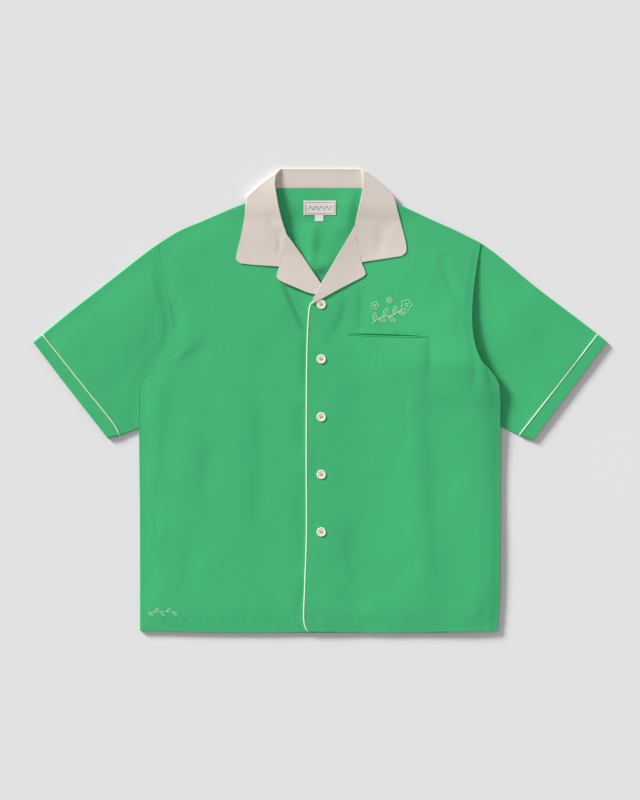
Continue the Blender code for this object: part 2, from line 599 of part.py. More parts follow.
def make_sleeve(name, shape, armhole, centre, material):
    inner, top, under, seam = sleeve_lines(shape, armhole, centre)
    top = np.concatenate([inner[:1], top[1:]])
    under = np.concatenate([inner[-1:], under[1:]])
    seam = moved_in(seam, CORD_SLOT, centre)
    top = trimmed(top, seam[0])
    under = trimmed(under, seam[-1])
    across = spread(11, FOLD_STEPS, SLEEVE_WIDTH)
    out = np.concatenate([[0.0, 0.06], np.linspace(0.16, 1.0, 7)])
    plan = patch(inner, seam, top, under, across, out)
    heights = sleeve_top(plan[..., 0], plan[..., 1], armhole, SLEEVE_FLAT_HEIGHT)
    return flat_tube(name, plan, heights, material)


def trimmed(line, end):
    """The line cut where it comes nearest to the end point, and brought to it."""
    last = int(np.argmin(np.linalg.norm(line - end, axis=1)))
    return np.concatenate([line[:last], [end]])


def make_cuff(name, shape, centre, material):
    """The turned band at the sleeve's end."""
    seam = soft_curve(shape["seam"])
    seam = moved_in(seam, -CORD_SLOT, centre)
    edge = soft_curve(shape["edge"])
    top = np.array([seam[0], edge[0]])
    under = np.array([seam[-1], edge[-1]])
    across = spread(8, FOLD_STEPS, CUFF_LENGTH)
    plan = patch(seam, edge, top, under, across, np.array([0.0, 0.5, 1.0]))
    heights = np.full(plan.shape[:2], SLEEVE_HEIGHT - GAP)
    return flat_tube(name, plan, heights, material)


def cord(name, points, radius, cyclic, material):
    """A round cord along the points."""
    curve = bpy.data.curves.new(name, "CURVE")
    curve.dimensions = "3D"
    curve.bevel_depth = radius
    curve.bevel_resolution = 2
    curve.use_fill_caps = True
    spline = curve.splines.new("POLY")
    spline.points.add(len(points) - 1)
    for knot, point in zip(spline.points, points):
        knot.co = (*point, 1.0)
    spline.use_cyclic_u = cyclic
    curve.materials.append(material)
    obj = bpy.data.objects.new(name, curve)
    PARTS.objects.link(obj)
    return obj


def make_front_cord(material):
    """The cord sewn into the edge that laps over, lying on the front underneath."""
    curved = np.linspace(0.0, HEM_CORNER_SHARE, 7)
    straight = np.linspace(0.10, 1.0, 20)
    plan = along(soft_curve(CORD_LINE), np.concatenate([curved, straight]))
    heights = front_z(plan[:, 0], plan[:, 1]) + CLOTH + GAP + 2 * FACET + CORD_RADIUS
    return cord("piping_front", with_heights(plan, heights), CORD_RADIUS, False, material)


def make_sleeve_cord(name, shape, material):
    """The ring of cord between a sleeve and its band, pressed flat with them."""
    seam = soft_curve(shape["seam"])
    length = np.linalg.norm(seam[-1] - seam[0])
    across = spread(10, (SLEEVE_CORD_RADIUS, 0.0030, 0.0080, 0.0160), length)
    plan = along(seam, across)
    over = np.full(len(across), SLEEVE_HEIGHT + SLEEVE_CORD_PROUD - SLEEVE_CORD_RADIUS)
    over[[0, -1]] = (SLEEVE_HEIGHT + SLEEVE_CORD_PROUD) / 2
    ring_top = with_heights(plan, over)
    ring_bottom = with_heights(plan, np.full(len(across), SLEEVE_CORD_RADIUS))[-2:0:-1]
    return cord(name, np.concatenate([ring_top, ring_bottom]), SLEEVE_CORD_RADIUS, True, material)


# Heights of the stand's wall, at its seam beside the back's neck edge, halfway, and at the roll
STAND_LEVEL = CLOTH / 2 + CLOTH + GAP
STAND_ON_BACK = (STAND_LEVEL, STAND_LEVEL + 0.0012, STAND_LEVEL + 0.0011)
STAND_AT_CORNER = (STAND_LEVEL, STAND_LEVEL + 0.0017, STAND_LEVEL + 0.0021)


def leaf_level(x, y, under_z):
    """Middle of a sheet that lies on a front."""
    return under_z(x, y) + CLOTH * SLOPE + GAP + FACET + CLOTH / 2


def collar_side(shape, under_z, centre):
    """Rows of the collar from the end of a leaf up to the shoulder.

    Each row runs from the stand's seam over the roll to the outer edge. Along the gorge there is
    no stand, so the cells there are left out later.
    """
    gorge = soft_curve(shape["gorge"])
    roll = soft_curve(shape["roll"])
    outer = soft_curve(shape["outer"])
    shoulder = soft_curve(shape["shoulder"])
    inner = np.concatenate([gorge, roll[1:]])
    length = [np.linalg.norm(np.diff(part, axis=0), axis=1).sum() for part in (gorge, roll)]
    share = length[0] / sum(length)
    up = np.concatenate([
        np.linspace(0.0, share, GORGE_ROWS), np.linspace(share, 1.0, LEAF_ROWS)[1:],
    ])
    fold_top = moved_in(shoulder, SHOULDER_FOLD, centre)
    start = np.linalg.norm(fold_top - inner[-1], axis=1).argmin() + SHOULDER_SKIP
    fold_top = np.concatenate([inner[-1:], fold_top[start:-1], outer[-1:]])
    leaf = patch(soft_curve(shape["end"]), fold_top, inner, outer, COLLAR_COLUMNS, up)
    run = np.linalg.norm(leaf - leaf[:, :1], axis=2)
    level = leaf_level(leaf[..., 0], leaf[..., 1], under_z)
    on_roll = smooth((up - share * 0.8) / (share * 0.5))[:, None]
    near_top = (1 - CROWN_LOSS * smooth((up - 0.8) / 0.2))[:, None]
    crown = smooth((run + CROWN_BACK) / CROWN_RISE) * (1 - smooth((run - CROWN_TOP) / CROWN_FADE))
    heights = level + ROLL_HEIGHT * crown * on_roll * near_top
    leaf_rows = with_heights(leaf, heights)
    seam = soft_curve(shape["seam"])
    stand_rows = []
    for row, fraction in enumerate(up):
        roll_point = leaf_rows[row, 0]
        from_fold = (1 - fraction) / (1 - share)
        back = along(seam, [np.clip(from_fold * STAND_REACH, 0.0, 1.0)])[0]
        low = under_z(back[0], back[1]) + CLOTH / 2
        beside = smooth(from_fold / STAND_TURN)
        stand = []
        for part, at_corner, lift in zip(STAND_COLUMNS, STAND_AT_CORNER, STAND_LIFTS):
            spot = roll_point[:2] + (back - roll_point[:2]) * part
            stand.append((*spot, at_corner + (low + lift - at_corner) * beside))
        stand_rows.append(stand)
        if row >= GORGE_ROWS:
            leaf_rows[row, 0, 2] = (stand[-1][2] + leaf_rows[row, 1, 2]) / 2
    return np.concatenate([np.array(stand_rows), leaf_rows], axis=1)


def back_row(seam_point, line, roll_z, stand_heights, fall_heights):
    """One section behind the neck: from the stand's seam over the roll and down the fall."""
    roll_point = line[0]
    row = []
    for share, height in zip(BACK_STAND_COLUMNS, stand_heights):
        spot = roll_point + (np.array(seam_point) - roll_point) * share
        row.append((*spot, height))
    spots = along(line, COLLAR_COLUMNS)
    row.append((*spots[0], roll_z))
    row.extend((*spot, height) for spot, height in zip(spots[1:], fall_heights[1:]))
    return row


def make_collar(material):
    """Leaf, shoulder fold, back and the other side in one sheet folded along its roll."""
    right = collar_side(COLLAR_RIGHT, front_z, (-0.09, 0.30))
    left = collar_side(COLLAR_LEFT, lap_z, (0.09, 0.30))
    low = np.full(len(COLLAR_COLUMNS), CLOTH / 2)
    edge = np.interp(COLLAR_COLUMNS, *zip(*FOLD_EDGE))
    turns = []
    for side, shape in ((-1, COLLAR_RIGHT), (1, COLLAR_LEFT)):
        outline = soft_curve(shape["shoulder"])
        fold = back_row((side * SEAM_AT_FOLD, STAND_SEAM), outline, ROLL_AT_FOLD,
                        STAND_AT_CORNER, edge)
        inset = moved_in(outline, SHOULDER_FOLD, (side * 0.09, 0.30))
        inset[0] = (outline[0, 0] - side * FALL_DRAW_IN, COLLAR_TOP)
        inset = np.concatenate([inset[:1], inset[FALL_SKIP:]])
        under = back_row((side * SEAM_IN_FALL, STAND_SEAM), inset, ROLL_IN_FALL,
                         STAND_ON_BACK, low)
        turns.append([fold, under])
    behind = []
    for x in BACK_ROWS_X:
        line = np.array([(x, COLLAR_TOP), along(FALL_LINE, [0.5 + x * FALL_SPREAD])[0]])
        behind.append(back_row((x * SEAM_SPREAD, STAND_SEAM), line, ROLL_AT_BACK,
                               STAND_ON_BACK, low))
    rows = np.concatenate([right, turns[0], behind, turns[1][::-1], left[::-1]])
    last = len(rows) - 2
    stand = range(len(STAND_COLUMNS))
    left_out = [(row, column) for row in range(GORGE_ROWS) for column in stand]
    left_out += [(last - row, column) for row in range(GORGE_ROWS) for column in stand]
    return grid_object("collar", rows, material, 0, left_out=left_out)


def make_lapel(name, shape, collar_shape, break_line, under_z, low_z, material):
    """A facing turned out over its front, rounding down past the front's edge at the break."""
    gorge = moved_in(soft_curve(collar_shape["gorge"]), GAP + FACET, (0.0, 0.24))
    first = soft_curve(break_line)
    lower = np.concatenate([first[:1], soft_curve(shape["lower"])])
    outer = np.concatenate([soft_curve(shape["outer"]), gorge[1:-4]])
    upper = np.array([first[-1], outer[-1]])
    plan = patch(lower, upper, first, outer, LAPEL_COLUMNS, np.linspace(0.0, 1.0, LAPEL_ROWS))
    run = distance_to(first, plan[..., 0], plan[..., 1])
    level = under_z(plan[..., 0], plan[..., 1]) + CLOTH * SLOPE + GAP + FACET
    crown = 1 - smooth((run - CROWN_TOP) / LAPEL_FADE)
    over = level + LAPEL_CROWN_SHARE * ROLL_HEIGHT * crown
    bend = np.sqrt(1 - (1 - np.clip(run / LAPEL_EDGE_ROLL, 0.0, 1.0)) ** 2)
    return grid_object(name, with_heights(plan, low_z + (over - low_z) * bend), material, 1)


def make_lip(name, side, material):
    """One lip of the welt pocket, from the slit outwards, bowed so that the slit gapes a little."""
    slit = along(soft_curve(POCKET_SLIT), np.linspace(0.0, 1.0, LIP_STEPS))
    gape = np.sin(np.linspace(0.0, np.pi, LIP_STEPS)) * SLIT_GAPE
    rows = []
    for out in (0.0, 0.5, 1.0):
        rows.append(slit + np.stack(
            [np.zeros(LIP_STEPS), side * (SLIT_HALF_WIDTH + gape + LIP_WIDTH * out)], axis=1))
    plan = np.array(rows)
    heights = lap_z(plan[..., 0], plan[..., 1]) + CLOTH * SLOPE + GAP + FACET
    return grid_object(name, with_heights(plan, heights), material, 1)


def make_label(name, box, material):
    x, y = np.meshgrid(
        np.linspace(box.left, box.right, 4), np.linspace(box.bottom, box.top, 5))
    plan = np.stack([x, y], axis=-1)
    heights = back_z(x, y) + CLOTH + GAP + FACET
    return grid_object(name, with_heights(plan, heights), material, 1, thickness=LABEL_THICKNESS)


def make_button_mesh():
    """The profile of a button: flat foot, round rim and a dished middle."""
    mesh = bpy.data.meshes.new("button_profile")
    points = [(turned.radius, 0.0, turned.height) for turned in reversed(BUTTON_PROFILE)]
    edges = [(i, i + 1) for i in range(len(points) - 1)]
    mesh.from_pydata(points, edges, [])
    return mesh


def make_hole_cutter():
    """Four round pins that cut the thread holes of a button."""
    mesh = bmesh.new()
    for turn in range(4):
        angle = math.radians(45 + 90 * turn)
        pin = bmesh.ops.create_cone(
            mesh, cap_ends=True, segments=HOLE_SIDES, radius1=HOLE_RADIUS, radius2=HOLE_RADIUS,
            depth=HOLE_DEPTH)
        bmesh.ops.translate(
            mesh, verts=pin["verts"],
            vec=(HOLE_OFFSET * math.cos(angle), HOLE_OFFSET * math.sin(angle), 0.001))
    data = bpy.data.meshes.new("button_holes")
    mesh.to_mesh(data)
    mesh.free()
    return data


def make_button(number, y, profile, holes, material):
    ring = np.linspace(0.0, 2 * np.pi, 25)
    under = np.array([[BUTTON_X, y]])
    for radius in (0.3, 0.65, 1.0):
        circle = np.stack([np.cos(ring), np.sin(ring)], axis=1) * BUTTON_RADIUS * radius
        under = np.concatenate([under, circle + (BUTTON_X, y)])
    base = lap_z(under[:, 0], under[:, 1]).max() + CLOTH * SLOPE + GAP
    name = f"button_{number}"
    obj = bpy.data.objects.new(name, profile)
    obj.location = (BUTTON_X, y, base)
    turned = obj.modifiers.new("Turned", "SCREW")
    turned.steps = BUTTON_STEPS
    turned.render_steps = BUTTON_STEPS
    turned.use_merge_vertices = True
    turned.merge_threshold = 0.00001
    PARTS.objects.link(obj)
    cutter = bpy.data.objects.new(f"{name}_holes", holes)
    cutter.location = obj.location
    cutter.hide_render = True
    cutter.display_type = "WIRE"
    CUTTERS.objects.link(cutter)
    cut = obj.modifiers.new("Holes", "BOOLEAN")
    cut.object = cutter
    cut.operation = "DIFFERENCE"
    cut.solver = "EXACT"
    obj.data.materials.clear()
    obj.data.materials.append(material)
    return obj


def make_shirt():
    make_back(material_for("back", "green"))
    make_front_right(material_for("front_right", "green"))
    make_front_left(material_for("front_left", "green"))
    sides = (
        ("right", SLEEVE_RIGHT, ARMHOLE_RIGHT, (-0.20, 0.10)),
        ("left", SLEEVE_LEFT, ARMHOLE_LEFT, (0.20, 0.10)),
    )
    for side, shape, armhole, centre in sides:
        sleeve, cuff, piping = f"sleeve_{side}", f"cuff_{side}", f"piping_sleeve_{side}"
        make_sleeve(sleeve, shape, armhole, centre, material_for(sleeve, "green"))
        make_cuff(cuff, shape, centre, material_for(cuff, "green"))
        make_sleeve_cord(piping, shape, material_for(piping, "cord"))
    make_front_cord(material_for("piping_front", "cord"))
    make_collar(material_for("collar", "cream"))
    make_lapel("lapel_right", LAPEL_RIGHT, COLLAR_RIGHT, BREAK_RIGHT, front_z, LAPEL_LOW_RIGHT,
               material_for("lapel_right", "cream"))
    make_lapel("lapel_left", LAPEL_LEFT, COLLAR_LEFT, BREAK_LEFT, lap_z, LAPEL_LOW_LEFT,
               material_for("lapel_left", "cream"))
    make_lip("pocket_welt_upper", 1, material_for("pocket_welt_upper", "green"))
    make_lip("pocket_welt_lower", -1, material_for("pocket_welt_lower", "green"))
    make_label("label_neck", LABEL_NECK, material_for("label_neck", "tape"))
    make_label("label_size", LABEL_SIZE, material_for("label_size", "tape"))
    profile = make_button_mesh()
    holes = make_hole_cutter()
    for number, y in enumerate(BUTTON_YS, start=1):
        make_button(number, y, profile.copy(), holes, material_for(f"button_{number}", "resin"))
    bpy.data.meshes.remove(profile)


clear_scene()
PARTS = new_collection("bowling_shirt")
CUTTERS = new_collection("cutters")
make_shirt()
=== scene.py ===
"""The bowling shirt's looks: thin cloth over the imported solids, laid flat on a pale floor.

Everything is in metres in the row frame: +X to the viewer's right (the wearer's left), +Y towards
the collar, +Z up from the floor. Only the rows given to metres(), path() and folds() are in
millimetres. Sides in names are the wearer's. Each cloth piece is a fine grid over the same edges
as its solid, lifted by height functions that add the small creases.
"""

import math
from collections import namedtuple

import bmesh
import bpy
import numpy as np
from mathutils import Matrix, Vector


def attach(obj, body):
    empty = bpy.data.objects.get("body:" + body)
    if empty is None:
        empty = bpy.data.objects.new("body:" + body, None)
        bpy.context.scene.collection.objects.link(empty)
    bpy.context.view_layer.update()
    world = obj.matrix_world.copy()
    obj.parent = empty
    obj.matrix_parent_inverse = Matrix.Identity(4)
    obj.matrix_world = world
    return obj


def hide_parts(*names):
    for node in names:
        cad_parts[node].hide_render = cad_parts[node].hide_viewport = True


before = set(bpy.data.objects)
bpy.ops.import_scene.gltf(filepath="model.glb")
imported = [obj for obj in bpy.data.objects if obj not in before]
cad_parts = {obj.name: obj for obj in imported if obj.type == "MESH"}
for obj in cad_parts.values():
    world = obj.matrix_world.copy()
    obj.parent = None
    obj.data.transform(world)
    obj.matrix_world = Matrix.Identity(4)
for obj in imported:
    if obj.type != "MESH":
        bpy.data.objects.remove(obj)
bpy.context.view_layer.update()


def metres(row):
    """A row of a table in millimetres, as the nearest decimal fractions of a metre."""
    return [round(value / 1000, 7) for value in row]


# Cloth and layers
SHELL = 0.0006  # thickness of one layer of cloth as shown
COLLAR_SHELL = 0.0009  # the collar and lapels are two layers
BACK_SHELL = 0.0008  # the back, which stays above the floor
CLOTH = 0.0012  # wall of the solids, whose upper side the cloth follows
GAP = 0.0003
LAYER = 0.0017  # underside of a sheet that lies on another, over the lower one's underside
RIM_FULL = 0.0003  # an edge stands this far above one layer of cloth
SIDE_PUFF = 0.0011  # air under the fronts: soon after their edges
DOME_PUFF = 0.0010  # and broadly towards their middle
SIDE_PUFF_LENGTH = 0.036
DOME_PUFF_LENGTH = 0.140
EDGE_ROLL = 0.0006  # width over which an edge rounds down
HEM_RISE = 0.0020  # the hem stands up a little
HEM_RISE_LENGTH = 0.130
SIDE_RISE_LENGTH = 0.220
SIDE_DROP = 0.0008  # the side that stands up turns down again next to its edge
SIDE_DROP_LENGTH = 0.016
OVERHANG = 0.0035  # the fronts reach this far over the sleeves
ARMHOLE_RISE = 0.0004  # the fronts clear the sleeves' ends
SLEEVE_SEAM = 0.0019  # and a sleeve starts this far inside their overhang
SLEEVE_HEIGHT = 0.0048
CORD_RADIUS = 0.0012
CORD_SINK = 0.0007  # how far the cord sits in the front's edge
SLEEVE_CORD_RADIUS = 0.0011
CORD_SLOT = 0.0014  # half the room for the cord between sleeve and band
PLACKET_EDGE = 0.0256
HEM_WIDTH = 0.0195  # turned hem
HEM_LAYER = 0.00006
HEM_GROOVE = 0.00005
HEM_PUCKER = 0.00007
HEM_STEP = 0.0020  # widths of the hem's step, of the groove at its stitches and of the pucker
HEM_GROOVE_WIDTH = 0.0014
HEM_PUCKER_WIDTH = 0.0070
SIDE_INSET = 0.0004  # the back's edges are a little inside those of the fronts
COLLAR_GAP = 0.0003
COLLAR_STEPS = 4
LIP_HEIGHT = 0.0002
SLIT_DEPTH = 0.0021
LIP_SEAT = 0.0001  # a lip sinks this deep into the cloth at its outer edge
SLIT_ROWS = (0.675, 0.705, 34)  # between these shares of the front's height lie this many rows
FLOOR_Z = -0.0003

# Where sheets rise over what is under them
FALL_RISE_FROM = 0.034  # the back starts to rise this far before the collar's fall
FALL_RISE_LENGTH = 0.028
FALL_HALF_WIDTH = 0.1225
FALL_RISE_SIDE = 0.050
ARMHOLE_LIFT = OVERHANG + 0.002
ARMHOLE_LIFT_FADE = 0.060
NECK_MIDDLE_Y = 0.33
NECK_CALM = 0.11  # within this distance of the neck's middle the fronts have no creases
NECK_CALM_FADE = 0.08
NECK_PUFF_SHARE = 0.15
LAP_RISE = 0.0011
LAP_FROM = 0.0100
LAP_FADE = 0.060
SLEEVE_FLAT_WIDTH = 0.003
SLEEVE_NEAR_LENGTH = 0.015
SLEEVE_DIP_BY_Y = ((0.080, 0.30), (0.130, 1.0))
SLEEVE_RISE_LENGTH = 0.100
SLEEVE_EDGE_THIN = 0.0020  # a sleeve's upper edge is this much flatter
SLEEVE_EDGE_LENGTH = 0.060
BREAK_INSET = 0.0048
NECK_CLEARANCE = 0.0012
FOLD_SMALLEST = 0.0014  # radius with which a tube turns over at its folds
FOLD_LARGEST = 0.0026
FOLD_WALL_SHARE = 0.75
FOLD_TURN = 0.012  # the inside of a tube is drawn in over this width
SHORTEST_STEP = 1e-7  # between two points of a line, so that its slope stays finite
FOLD_LEAN = 2.2  # a fold is steeper on one side and this much gentler on the other
FULLNESS = 0.6  # folds and gaping slits keep their height towards their ends by this power

# Grids: rows of cells close to the edges, and how many there are in between. The lengths are what
# the distances in from the edges are measured against.
Grid = namedtuple("Grid", "across width up length")
BACK_GRID = Grid(120, 0.58, 130, 0.70)
FRONT_GRID = Grid(128, 0.29, 185, 0.69)
BACK_EDGE = (0.0, 0.002)
HEM_ROWS = metres((
    0, 0.1, 0.3, 0.6, 0.9, 2, 6, 10, 14, 16.5, 17.8, 18.6, 19.2, 19.8, 20.4, 21.2, 22.6, 25,
))
EDGE_ROWS = metres((0, 0.1, 0.3, 0.6, 1.2, 2.2, 3.8))
Tube = namedtuple("Tube", "across width along end")  # end: share of its length in the end rows
SLEEVE_TUBE = Tube(84, 0.26, 62, 0.002)
CUFF_TUBE = Tube(70, 0.195, 12, 0.015)
TUBE_MERGE = 1e-6  # points of a tube's ends that are closer are one
TUBE_EDGE = metres((0, 0.3, 0.7, 1.3, 2.2, 3.5, 6))
CORD_COVER = 0.0004  # sleeve and band reach this far over the cord between them
CORD_ROUND = 4
FRONT_CORD_POINTS = 160
SLEEVE_CORD_CELLS = 46
SLEEVE_CORD_EDGE = (SLEEVE_CORD_RADIUS, 0.0022, 0.0040)
SLEEVE_CORD_PROUD = 0.0003  # the cord stands over the cloth, and less where it turns underneath
SLEEVE_CORD_LOW = 0.0002

# Points towards which edges are moved in: the first four in the wearer's left half
FRONT_CENTRE = (0.15, 0.0)
CHEST_CENTRE = (0.15, 0.15)
SLEEVE_CENTRE = (0.20, 0.10)
LEAF_CENTRE = (0.09, 0.30)
BACK_CENTRE = (0.0, -0.1)
NECK_CENTRE = (0.0, 0.24)

# Soft unevenness: squash is the share of y that counts, which makes the waves longer along it
Waves = namedtuple("Waves", "seed count height shortest longest squash")
HEM_WAVES = Waves(53, 24, 1.0, 0.006, 0.024, 0.3)
FRONT_WAVES = Waves(7, 18, 0.00016, 0.05, 0.17, 1.0)
CRINKLE = Waves(71, 24, 0.00002, 0.010, 0.040, 0.4)
SLEEVE_WAVES = Waves(11, 12, 0.00014, 0.05, 0.15, 1.0)
CUFF_WAVES = Waves(23, 8, 0.00008, 0.03, 0.08, 1.0)
LIP_WAVES = Waves(31, 6, 0.00006, 0.010, 0.030, 1.0)
LABEL_WAVES = Waves(41, 6, 0.00006, 0.02, 0.06, 1.0)
WAVE_SPREAD = 0.6  # radians by which their directions vary

# Plan points, each line from the hem upwards or from the neck outwards
Point = namedtuple("Point", "x y")


def path(*pairs):
    """Points from pairs in millimetres; those that are points in metres already stay so."""
    return [pair if isinstance(pair, Point) else Point(*metres(pair)) for pair in pairs]


SIDE_RIGHT = path(
    (-288.3, -368.4), (-288.3, -200), (-289.6, -60), (-290.4, -2), (-288.6, 29), (-274.7, 46.5),
    (-260, 63.6), (-245.3, 86.5), (-237.5, 116.4), (-239.2, 140), (-249.6, 183.6), (-257, 222),
    (-259.2, 251),
)
SIDE_LEFT = path(
    (284, -368.4), (287.2, -320), (288, -255), (288.8, -40.4), (288.3, 10), (285, 30), (272, 49.2),
    (258.7, 64), (248, 92.4), (243.7, 129.2), (245.6, 169.2), (250.4, 209.2), (257.6, 252.4),
)
NECK_POINT_RIGHT = Point(-0.0850, 0.3325)
NECK_POINT_LEFT = Point(0.0850, 0.3325)
# How far the side of the front that laps over stands up, by distance along Y
SIDE_RISE = path(
    (-370, 3.4), (-260, 4.2), (-120, 3.8), (-50, 4.6), (-15, 5.8), (25, 9.4), (57, 11.8),
    (81, 10.8), (113, 8.2), (161, 5), (205, 2.6), (250, 0.2),
)
SHOULDER_RIGHT = path(
    NECK_POINT_RIGHT, (-115.2, 318), (-147.2, 305.2), (-192, 286), (-224, 272.4), SIDE_RIGHT[-1],
)
SHOULDER_LEFT = path(
    NECK_POINT_LEFT, (115.2, 318.4), (145.6, 305.2), (187.2, 286), (216, 273.2), SIDE_LEFT[-1],
)
HEM_MIDDLE = Point(0.0000, -0.3716)
HEM_RIGHT = Point(-0.1400, -0.3712)
HEM_LEFT = Point(0.1400, -0.3712)
BACK_NECK = path(NECK_POINT_RIGHT, (-74, 340), (0, 342.4), (74, 340), NECK_POINT_LEFT)
CORD_LINE = path(
    (-17.6, -370), (-22.4, -364), (-25.2, -353), (-24, -294.8), (-21.4, -222.8), (-21.6, -78.8),
    (-20.6, 76.4), (-19.1, 116.7), (-17.6, 140), (-15.6, 152),
)
BREAK_LEFT = path(
    (-10.5, 165), (-8, 169.2), (1.9, 188.4), (22.4, 222.9), (50.2, 270.3), (54.9, 279.2),
)
BREAK_RIGHT = path((0.2, 189.6), (-14, 210.8), (-29.4, 233.7), (-42, 251), (-54.1, 267.6))
NECK_SEAM_RIGHT = path((-57.2, 272), (-69, 290), (-76, 306), (-83, 322), NECK_POINT_RIGHT)
NECK_SEAM_LEFT = path((58.8, 282), (69, 294), (76, 308), (83, 322), NECK_POINT_LEFT)
CORD_END = path((-12.8, 156.6), (-8.5, 159.2))  # on under the lapel
PLACKET_LINE = path(
    Point(PLACKET_EDGE, -0.3700), Point(PLACKET_EDGE, 0.1100), (23.6, 136), (15, 154), (2, 170),
)

# Sleeves: the fold along the top, the lower fold, the seam of the band and its free edge. A dip
# brings the sleeve up to its full height sooner, so that the armhole lies in a narrow valley, and
# seam_height is where its cloth starts beside the armhole.
SLEEVE_RIGHT = {
    "dip": 0.65,
    "seam_height": 0.0031,
    "top": path(
        (-259.2, 251.7), (-281.6, 235.4), (-331.2, 196.4), (-396.8, 145.2), (-444.5, 106.2),
    ),
    "under": path((-289.6, -44), (-305, -50.5), (-320, -56.2)),
    "seam": path((-444.5, 106.2), (-384, 30.2), (-327, -42), (-320, -56.2)),
    "edge": path((-459.2, 94.3), (-400, 16.8), (-339.4, -60.6)),
}
SLEEVE_LEFT = {
    "dip": 0.0,
    "seam_height": 0.0017,
    "top": path((257.5, 253), (281.6, 235.4), (344, 183.6), (411.2, 132.4), (444.6, 106.6)),
    "under": path((288.4, -40.5), (303.5, -48), (318.9, -55.1)),
    "seam": path((444.6, 106.6), (383, 27), (318.9, -55.1)),
    "edge": path((459.2, 95), (400, 16), (340.3, -63)),
}

# Collar: roll and gorge from the notch up, outer edge from the tip up, the fold over the
# shoulder from the roll outwards, and the seam of the stand from the back neck downwards
COLLAR_RIGHT = {
    "gorge": path((-65.6, 214.8), (-60, 247), (-54.4, 268.4)),
    "roll": path(
        (-54.4, 268.4), (-57.1, 276), (-64.8, 304.1), (-70.9, 337.7), (-72.1, 350), (-70.4, 360.8),
    ),
    "end": path((-65.6, 214.8), (-115.2, 218.3), (-127.5, 219.9)),
    "outer": path(
        (-127.5, 219.9), (-133.8, 224.5), (-133.6, 233.7), (-125.9, 265.8), (-119.5, 304.1),
        (-118, 315),
    ),
    "shoulder": path((-63.2, 370.4), (-72.3, 362.5), (-90.7, 349), (-110.7, 331.2), (-118, 323.2)),
    "seam": path((-74, 340), (-79, 336.5), (-81.5, 331), (-80, 322), (-74, 306)),
}
COLLAR_LEFT = {
    "gorge": path((66.2, 221.7), (62.4, 244.4), (57.6, 262.6), (55.6, 281)),
    "roll": path((55.6, 281), (60.8, 301), (65.5, 323), (68.6, 339.3), (69.2, 352), (69, 362.5)),
    "end": path((66.2, 221.7), (118, 229.5), (130, 231.5)),
    "outer": path(
        (130, 231.5), (137.4, 237.6), (138, 248), (129.8, 282.6), (122.8, 308), (120.5, 315),
    ),
    "shoulder": path((64.8, 370.8), (77.8, 364.2), (99.2, 345.8), (115, 330), (120.5, 323.2)),
    "seam": path((74, 340), (79, 336.5), (81.5, 331), (80, 322), (74, 306)),
}
# How high the breaks and rolls stand over the edges of lapels and leaves, by distance along Y
ROLL_RIGHT_BY_Y = path(
    (165, 1.6), (215, 2.2), (265, 2.9), (300, 3.2), (330, 3.4), (350, 2.6), (372, 0.6),
)
ROLL_LEFT_BY_Y = path((150, 0.6), (215, 1), (290, 1), (330, 0.8), (350, 0.6), (372, 0.4))
# How far the leaves stand off the shirt towards the shoulders
LIFT_RIGHT_BY_Y = path((235, 0), (265, 1.4), (290, 2.6), (335, 2.8), (352, 1.8), (368, 0.3))
LIFT_LEFT_BY_Y = path((240, 0), (300, 0.8), (330, 0.8), (365, 0.2))
RISE_RIGHT = (ROLL_RIGHT_BY_Y, LIFT_RIGHT_BY_Y)
RISE_LEFT = (ROLL_LEFT_BY_Y, LIFT_LEFT_BY_Y)
COLLAR_TOP = 0.3710  # roll of the collar at the back neck
STAND_SEAM = 0.3404
FALL_EDGE = path((-113, 317), (-80, 319), (0, 326), (80, 319), (115, 317))
FALL_FROM_MIDDLE = path((0, 326), (80, 319), (115, 316.5))

# Lapels: lower edge from the break outwards, and outer edge up to the notch
LAPEL_RIGHT = {
    "lower": path((4.6, 181.5), (-6, 170.9), (-44.8, 183.6), (-62, 191.2), (-67.2, 194.5)),
    "outer": path((-67.2, 194.5), (-69.3, 198.5), (-66, 212)),
}
LAPEL_LEFT = {
    "lower": path((-12.5, 154.5), (22.6, 174), (48.6, 187.8), (68, 197.7)),
    "outer": path((68, 197.7), (72.8, 203), (67, 220)),
}

# Welt pocket and labels
POCKET_SLIT = path((43, 107.2), (120, 104.6), (171, 102.6))
LIP_WIDTH = 0.0014
LIP_SHELL = 0.0003
LIP_POINTS = 90
LIP_INSIDE = 4  # rows down into the slit, and rows over the lip's face
LIP_FACE = 10
LIP_START = 0.15  # share of its rounding that a lip has at the slit
SLIT_HALF_WIDTH = 0.0006
SLIT_GAPE = 0.0011  # how much wider each half is in the middle
Box = namedtuple("Box", "left right bottom top")
LABEL_NECK = Box(-0.0261, 0.0254, 0.2973, 0.3202)
LABEL_SIZE = Box(-0.0080, 0.0056, 0.2873, 0.2970)
LABEL_EDGE = (0.0, 0.0003)
LABEL_CELLS = (38, 22)
LABEL_LIFT = 0.0006  # top of a label over the back
LABEL_SHELL = 0.0005

# Buttons: where they sit
BUTTON_X = 0.0022
BUTTON_YS = (0.1540, 0.0666, -0.0260, -0.1180, -0.2100)
BUTTON_DIP = 0.0004  # the cloth is drawn down at each button
BUTTON_DIP_WIDTH = 0.011
BUTTON_SINK = 0.0010  # and the button sinks into it

